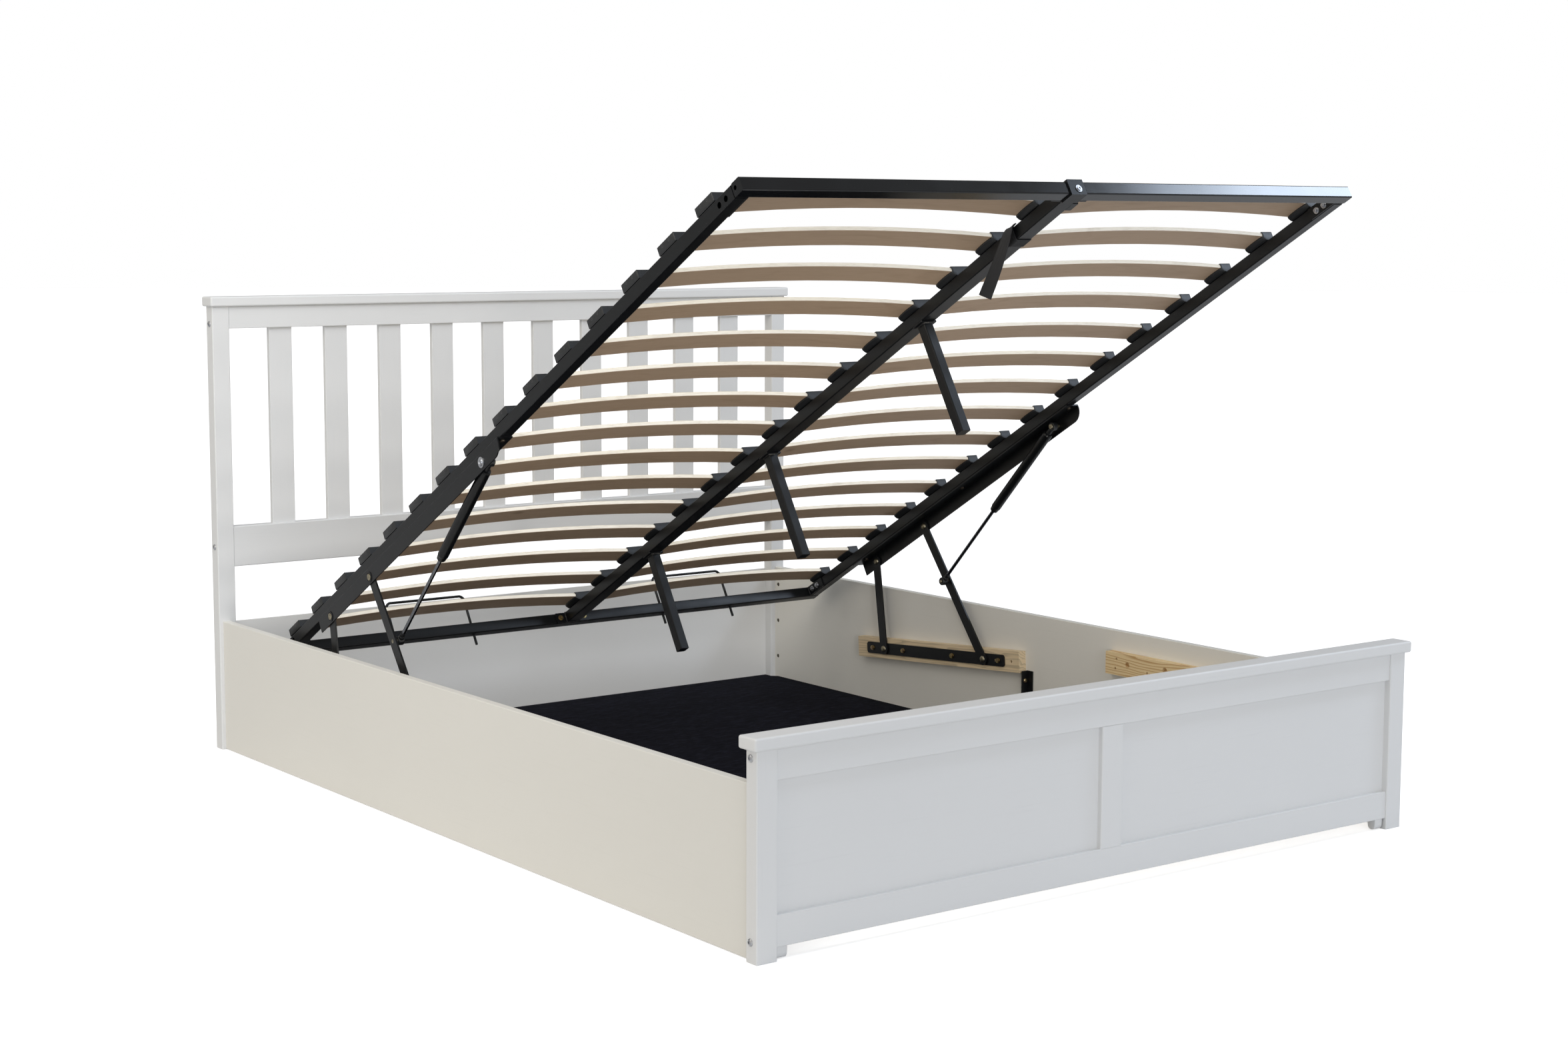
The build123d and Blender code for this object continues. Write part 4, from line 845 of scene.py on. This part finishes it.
class BED_OT_steelwork(bpy.types.Operator):
    """Powder coat on the platform's tubes and brackets, with the weld beads and leg saddles"""

    bl_idname = "bed.steelwork"
    bl_label = "Steelwork"

    def execute(self, context):
        colour = context.scene.bed_finishes.coat
        tube = steel_finish("powder_coat", colour, 0.30)
        dress(("foot_rail",), steel_finish("powder_coat_glossy", colour, 0.12, sheen=0.5, skin=0.000004))
        dress(("platform_side_rails", "head_rail", "corner_brackets", "centre_rail",
               "centre_end_plates", "foot_hook_bracket", "mechanism_angles", "support_legs", "leg_feet",
               "retainer_bars"), tube)
        fixed = steel_finish("powder_coat_fixed", colour, 0.34, on_platform=False)
        dress(("base_plates", "panel_brackets"), fixed)
        self.add_saddles(tube)
        self.add_welds(context.scene.bed_sizes.bead_radius)
        return {"FINISHED"}

    def add_saddles(self, material):
        """A thin plate between each leg and the centre rail: a rounded rectangle with eased faces."""
        levels = np.array([-0.0030, -0.0026, -0.0006, -0.0001])
        inset = np.array([0.0006, 0.0, 0.0, 0.0004])
        plate = stacked_rings(0.0195 - inset, 0.0150 - inset, levels, 0.003)
        piece = surface_object("leg_saddles", [at_stations(plate, LEG_STATIONS)], 30.0)
        settle(piece, "platform", material)

    def add_welds(self, radius):
        """Beads round the legs' tops, down the corner brackets' folds and beside the centre rail's plates."""
        half = LEG_SIZE / 2 + radius * 0.15
        inner = PLATFORM_HALF_WIDTH - TUBE - 0.0025
        half_rail = CENTRE_RAIL_WIDTH / 2
        loops = []
        runs = []
        for station in LEG_STATIONS:
            loops.append((1.0, 0.0031, [(x, y - station, -0.0032) for x, y in (
                (-half, -half), (half, -half), (half, half), (-half, half))]))
            for x in (-0.0172, 0.0172):
                runs.append((0.8, 0.0028, [(x, y - station, -0.0006) for y in (-0.014, 0.014)]))
        for x in (-inner, inner):
            for y in (-TUBE - 0.0026, 0.0026 + TUBE - PLATFORM_LENGTH):
                runs.append((0.7, 0.0026, [(x, y, z) for z in (0.003, TUBE - 0.003)]))
        for y in (-TUBE - 0.0034, 0.0034 + TUBE - PLATFORM_LENGTH):
            loops.append((0.7, 0.0027, [(-half_rail, y, 0.0), (half_rail, y, 0.0), (half_rail, y, TUBE),
                                        (-half_rail, y, TUBE)]))
        grids = [
            to_world(bead(densified(corners, 0.0006, closed), radius * share, ripple, closed))
            for group, closed in ((loops, True), (runs, False)) for share, ripple, corners in group
        ]
        piece = surface_object("weld_beads", grids, 60.0)
        settle(piece, "platform", weld_finish("weld"))


class BED_OT_slats(bpy.types.Operator):
    """Bowed plywood on the sprung slats"""

    bl_idname = "bed.slats"
    bl_label = "Sprung slats"

    def execute(self, context):
        colours = context.scene.bed_finishes
        veneer = slat_finish("birch_ply", colours.veneer, colours.veneer_under_painted_shade,
                             colours.ply_edge)
        dress(("slats_left", "slats_right"), veneer)
        return {"FINISHED"}


class BED_OT_slat_holders(bpy.types.Operator):
    """Moulded holders that take the slats' ends in a pocket with a bulged lower lip"""

    bl_idname = "bed.slat_holders"
    bl_label = "Slat holders"

    def execute(self, context):
        lip = context.scene.bed_sizes.lip
        colour = context.scene.bed_finishes.plastic
        side = self.rings(PLATFORM_HALF_WIDTH - TUBE, SIDE_RINGS, -lip, UPPER_LIP)
        piece = self.repeated("moulded_side_holders", [side, side * MIRROR])
        settle(piece, "platform", plastic_finish("side_plastic", colour, True))
        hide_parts("side_slat_holders")
        half = self.rings(CENTRE_RAIL_WIDTH / 2, CENTRE_RINGS, lip, -UPPER_LIP)
        piece = self.repeated("moulded_centre_holders", [np.concatenate([half, half[::-1] * MIRROR])])
        settle(piece, "platform", plastic_finish("centre_plastic", colour, False))
        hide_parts("centre_slat_holders")
        return {"FINISHED"}

    def rings(self, rail, table, lip, upper_lip):
        """Rounded rectangles carried along X from a rail's face. The lower half of each ring moves along X by an
        ellipse of the distance from the holder's middle, the upper half in proportion to its height, and a
        pocket's ring follows the arch of the slat that it takes."""
        table = np.array(table, dtype=float)
        shift, half, low, fall, radius = table[:, :5].T / 1000.0
        x = rail + shift
        pocket = np.isnan(low)
        under = slat_underside(np.maximum(x, 0.0101))
        low = np.where(pocket, under - POCKET_FIT, low)
        high = np.where(pocket, under + SLAT_THICKNESS + POCKET_FIT, HOLDER_TOP - fall)
        along, up = finer(*rounded_ring(half, low, high, radius, 4), (7, 1, 7, 1))
        middle = (low + high)[:, None] / 2
        below = np.clip((middle - up) / np.maximum(middle - low[:, None], 1e-6), -1.0, 1.0)
        ellipse = np.sqrt(np.clip(1.0 - (along / (HOLDER_LENGTH / 2 + 0.0005)) ** 2, 0.0, 1.0))
        moved = below * np.where(below > 0, lip * ellipse, upper_lip)
        return np.stack([x[:, None] + table[:, 5:] * moved, along, up], axis=-1)

    def repeated(self, name, shapes):
        """The shapes at every slat, in one mesh."""
        return surface_object(name, [at_stations(shape, SLAT_STATIONS) for shape in shapes], 38.0)


class BED_OT_linkage(bpy.types.Operator):
    """Powder coat, plating and chrome on the lift linkage and gas struts"""

    bl_idname = "bed.linkage"
    bl_label = "Lift linkage"

    def execute(self, context):
        colour = context.scene.bed_finishes.coat
        moving = steel_finish("powder_coat_links", colour, 0.30, on_platform=False)
        dress(("front_links", "rear_links"), moving)
        dress(("strut_tubes",), steel_finish("strut_paint", scaled(colour, 0.8), 0.26, False))
        dress(("strut_eyes", "ball_sockets"), plastic_finish("strut_end_plastic", colour, False))
        dress(("strut_rods",), metal_finish("strut_chrome", shade(120, 122, 126), shade(96, 98, 104), 0.16))
        return {"FINISHED"}


class BED_OT_fixings(bpy.types.Operator):
    """Plating on bolts, nuts, rivets, studs and screws"""

    bl_idname = "bed.fixings"
    bl_label = "Fixings"

    def execute(self, context):
        zinc = metal_finish("bright_zinc", shade(205, 206, 208), shade(168, 170, 176), 0.28)
        yellow = metal_finish("yellow_zinc", shade(176, 160, 104), shade(150, 128, 110), 0.34)
        nickel = metal_finish("nickel_rivet", shade(168, 160, 138), shade(128, 120, 100), 0.36)
        dark = metal_finish("dark_zinc", shade(112, 104, 92), shade(78, 70, 62), 0.40)
        dress(("post_bolts", "corner_bolts", "foot_hook_bolt", "gas_stud_collars"), zinc)
        dress(("base_plate_nuts", "centre_end_bolts", "panel_bracket_bolts"), yellow)
        dress(("front_link_rivets", "rear_link_rivets", "ball_studs", "strut_studs"), nickel)
        dress(("barrel_nuts", "base_plate_pins", "angle_screws"), dark)
        return {"FINISHED"}


class BED_OT_storage_floor(bpy.types.Operator):
    """Woven cloth floor of the storage space: its height adds two products of sines, which fade out toward
    the edges, and a low swelling for the turned hem"""

    bl_idname = "bed.storage_floor"
    bl_label = "Storage floor"

    def execute(self, context):
        sizes = context.scene.bed_sizes
        low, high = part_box("storage_floor")
        post_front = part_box("head_posts")[0].y - CLOTH_GAP
        between_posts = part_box("head_lower_panel")[1].x - CLOTH_GAP
        half_x = high.x - CLOTH_GAP
        front, back = low.y + CLOTH_GAP, high.y - CLOTH_GAP
        u, v = np.meshgrid(np.linspace(-1.0, 1.0, 121), np.linspace(0.0, 1.0, 161))
        y = front + (back - front) * v
        row = (back - front) / (len(v) - 1)
        x = u * np.where(y > post_front - row, between_posts, half_x)
        edge = np.clip(np.minimum((1.0 - np.abs(u)) / 0.03, np.minimum(v, 1.0 - v) / 0.025), 0.0, 1.0)
        waves = (
            np.sin(x * 7.1 + 1.9 * np.sin(y * 3.3)) * np.sin(y * 5.2 + 0.8)
            + 0.5 * np.sin(x * 17.0 - y * 9.0) * np.sin(y * 13.0 + x * 3.0)
        )
        hem = np.exp(-((1.0 - edge) * 3.0 - 1.6) ** 2) * CLOTH_HEM
        rise = sizes.ripple * (0.5 + 0.5 * np.clip(waves, -1.0, 1.0)) * edge
        grid = np.stack([x, y, low.z + CLOTH_CLEARANCE + rise + hem * (edge < 1.0)], axis=-1)
        cloth = surface_object("cloth_floor", [grid], 60.0, closed=False, capped=False)
        thickness = cloth.modifiers.new("cloth_thickness", "SOLIDIFY")
        thickness.thickness = CLOTH_THICKNESS
        thickness.offset = 1.0
        weave = weave_finish("storage_weave", context.scene.bed_finishes.cloth, sizes.thread, 0.0030)
        settle(cloth, "bed_frame", weave)
        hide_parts("storage_floor")
        return {"FINISHED"}


class BED_OT_pull_strap(bpy.types.Operator):
    """Webbing strap round the centre rail, its tail hanging beside the rail"""

    bl_idname = "bed.pull_strap"
    bl_label = "Pull strap"

    def execute(self, context):
        sizes = context.scene.bed_sizes
        half_rail = CENTRE_RAIL_WIDTH / 2
        clear = sizes.strap_thickness / 2 + 0.0002
        loop = self.loop_path(half_rail + clear, -clear, TUBE + clear)
        tail = self.tail_path(half_rail + clear)
        ribbons = [self.ribbon(*way, sizes.strap_width, sizes.strap_thickness) for way in (loop, tail)]
        piece = surface_object("webbing_strap", [to_world(ribbon[0]) for ribbon in ribbons], 50.0)
        for index, name in ((1, "strap_length"), (2, "strap_width")):
            attribute = piece.data.attributes.new(name, "FLOAT", "POINT")
            values = np.concatenate([ribbon[index].ravel() for ribbon in ribbons])
            attribute.data.foreach_set("value", values.astype(np.float32))
        webbing = webbing_finish("strap_webbing", context.scene.bed_finishes.webbing, sizes.strap_width)
        settle(piece, "platform", webbing)
        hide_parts("pull_strap")
        return {"FINISHED"}

    def loop_path(self, half, low, high):
        """Once round the rail's section, with rounded corners."""
        across, up = rounded_ring(half, low, high, 0.0038, 7)
        points = np.stack([across[0], np.full(across.shape[1], -STRAP_STATION), up[0]], axis=-1)
        path = densified(np.concatenate([points, points[:1]]), 0.0012, closed=False)
        return path, np.tile([0.0, 1.0, 0.0], (len(path), 1))

    def tail_path(self, half):
        """From the rail's top left corner in a shallow bow past the rail's side and down to the cut end."""
        points = np.array([
            (-0.0150, -1.8290, 0.0268), (-0.0225, -1.8265, 0.0245), (-0.0275, -1.8190, 0.0160),
            (-0.0310, -1.8060, 0.0020), (-0.0355, -1.7880, -0.0160), (-0.0405, -1.7690, -0.0340),
            (-0.0460, -1.7500, -0.0515), (-0.0510, -1.7330, -0.0670),
        ])
        facing = np.array([
            (0.0, 1.0, 0.0), (0.0, 1.0, 0.02), (-0.02, 1.0, 0.06), (-0.08, 1.0, 0.12), (-0.20, 0.97, 0.20),
            (-0.34, 0.92, 0.26), (-0.48, 0.85, 0.30), (-0.58, 0.78, 0.32),
        ])
        at = np.linspace(0.0, len(points) - 1.0, 90)
        path = np.stack([self.spline(points[:, k], at) for k in range(3)], axis=-1)
        across = np.stack([self.spline(facing[:, k], at) for k in range(3)], axis=-1)
        return path, across / np.linalg.norm(across, axis=1, keepdims=True)

    def spline(self, values, at):
        """A smooth curve through evenly spaced values: the cubic set by the four nearest values."""
        padded = np.concatenate([[2 * values[0] - values[1]], values, [2 * values[-1] - values[-2]]])
        index = np.clip(np.floor(at).astype(int), 0, len(values) - 2)
        t = at - index
        a, b, c, d = (padded[index + k] for k in range(4))
        square, cube = 2 * a - 5 * b + 4 * c - d, 3 * b - a - 3 * c + d
        return 0.5 * (2 * b + (c - a) * t + square * t ** 2 + cube * t ** 3)

    def ribbon(self, path, across, width, thickness):
        """A thin rounded band carried along the path: its width lies along one direction, its thickness along
        the normal, which is the path's direction crossed with the width. With it come each point's distance
        along the path and across the width."""
        tangent = np.gradient(path, axis=0)
        tangent /= np.linalg.norm(tangent, axis=1, keepdims=True)
        across = across - (across * tangent).sum(axis=1, keepdims=True) * tangent
        across /= np.linalg.norm(across, axis=1, keepdims=True)
        normal = np.cross(tangent, across)
        ring = rounded_ring(width / 2, -thickness / 2, thickness / 2, thickness * 0.45, 3)
        side, up = finer(*ring, (0, 8, 0, 8))
        grid = path[:, None] + across[:, None] * side[0][:, None] + normal[:, None] * up[0][:, None]
        steps = np.linalg.norm(np.diff(path, axis=0), axis=1)
        travelled = np.concatenate([[0.0], np.cumsum(steps)])
        return grid, *(np.broadcast_to(values, grid.shape[:2]) for values in (travelled[:, None], side))


class BED_PT_panel(bpy.types.Panel):
    """The bed's pieces and their settings"""

    bl_idname = "BED_PT_panel"
    bl_label = "Bed"
    bl_space_type = "VIEW_3D"
    bl_region_type = "UI"
    bl_category = "Bed"

    def draw(self, context):
        layout = self.layout
        for operator in OPERATORS:
            layout.operator(operator.bl_idname)
        for group in (context.scene.bed_finishes, context.scene.bed_sizes, context.scene.bed_studio):
            box = layout.box()
            for name in group.__annotations__:
                box.prop(group, name)


OPERATORS = (
    BED_OT_studio,
    BED_OT_painted_frame,
    BED_OT_battens,
    BED_OT_steelwork,
    BED_OT_slats,
    BED_OT_slat_holders,
    BED_OT_linkage,
    BED_OT_fixings,
    BED_OT_storage_floor,
    BED_OT_pull_strap,
)
CLASSES = (BedFinishSettings, BedSizeSettings, BedStudioSettings) + OPERATORS + (BED_PT_panel,)


def register():
    for cls in CLASSES:
        bpy.utils.register_class(cls)
    bpy.types.Scene.bed_finishes = bpy.props.PointerProperty(type=BedFinishSettings)
    bpy.types.Scene.bed_sizes = bpy.props.PointerProperty(type=BedSizeSettings)
    bpy.types.Scene.bed_studio = bpy.props.PointerProperty(type=BedStudioSettings)


def unregister():
    del bpy.types.Scene.bed_studio
    del bpy.types.Scene.bed_sizes
    del bpy.types.Scene.bed_finishes
    for cls in reversed(CLASSES):
        bpy.utils.unregister_class(cls)


def main():
    register()
    for operator in OPERATORS:
        group, name = operator.bl_idname.split(".")
        getattr(getattr(bpy.ops, group), name)()


if __name__ == "__main__":
    main()
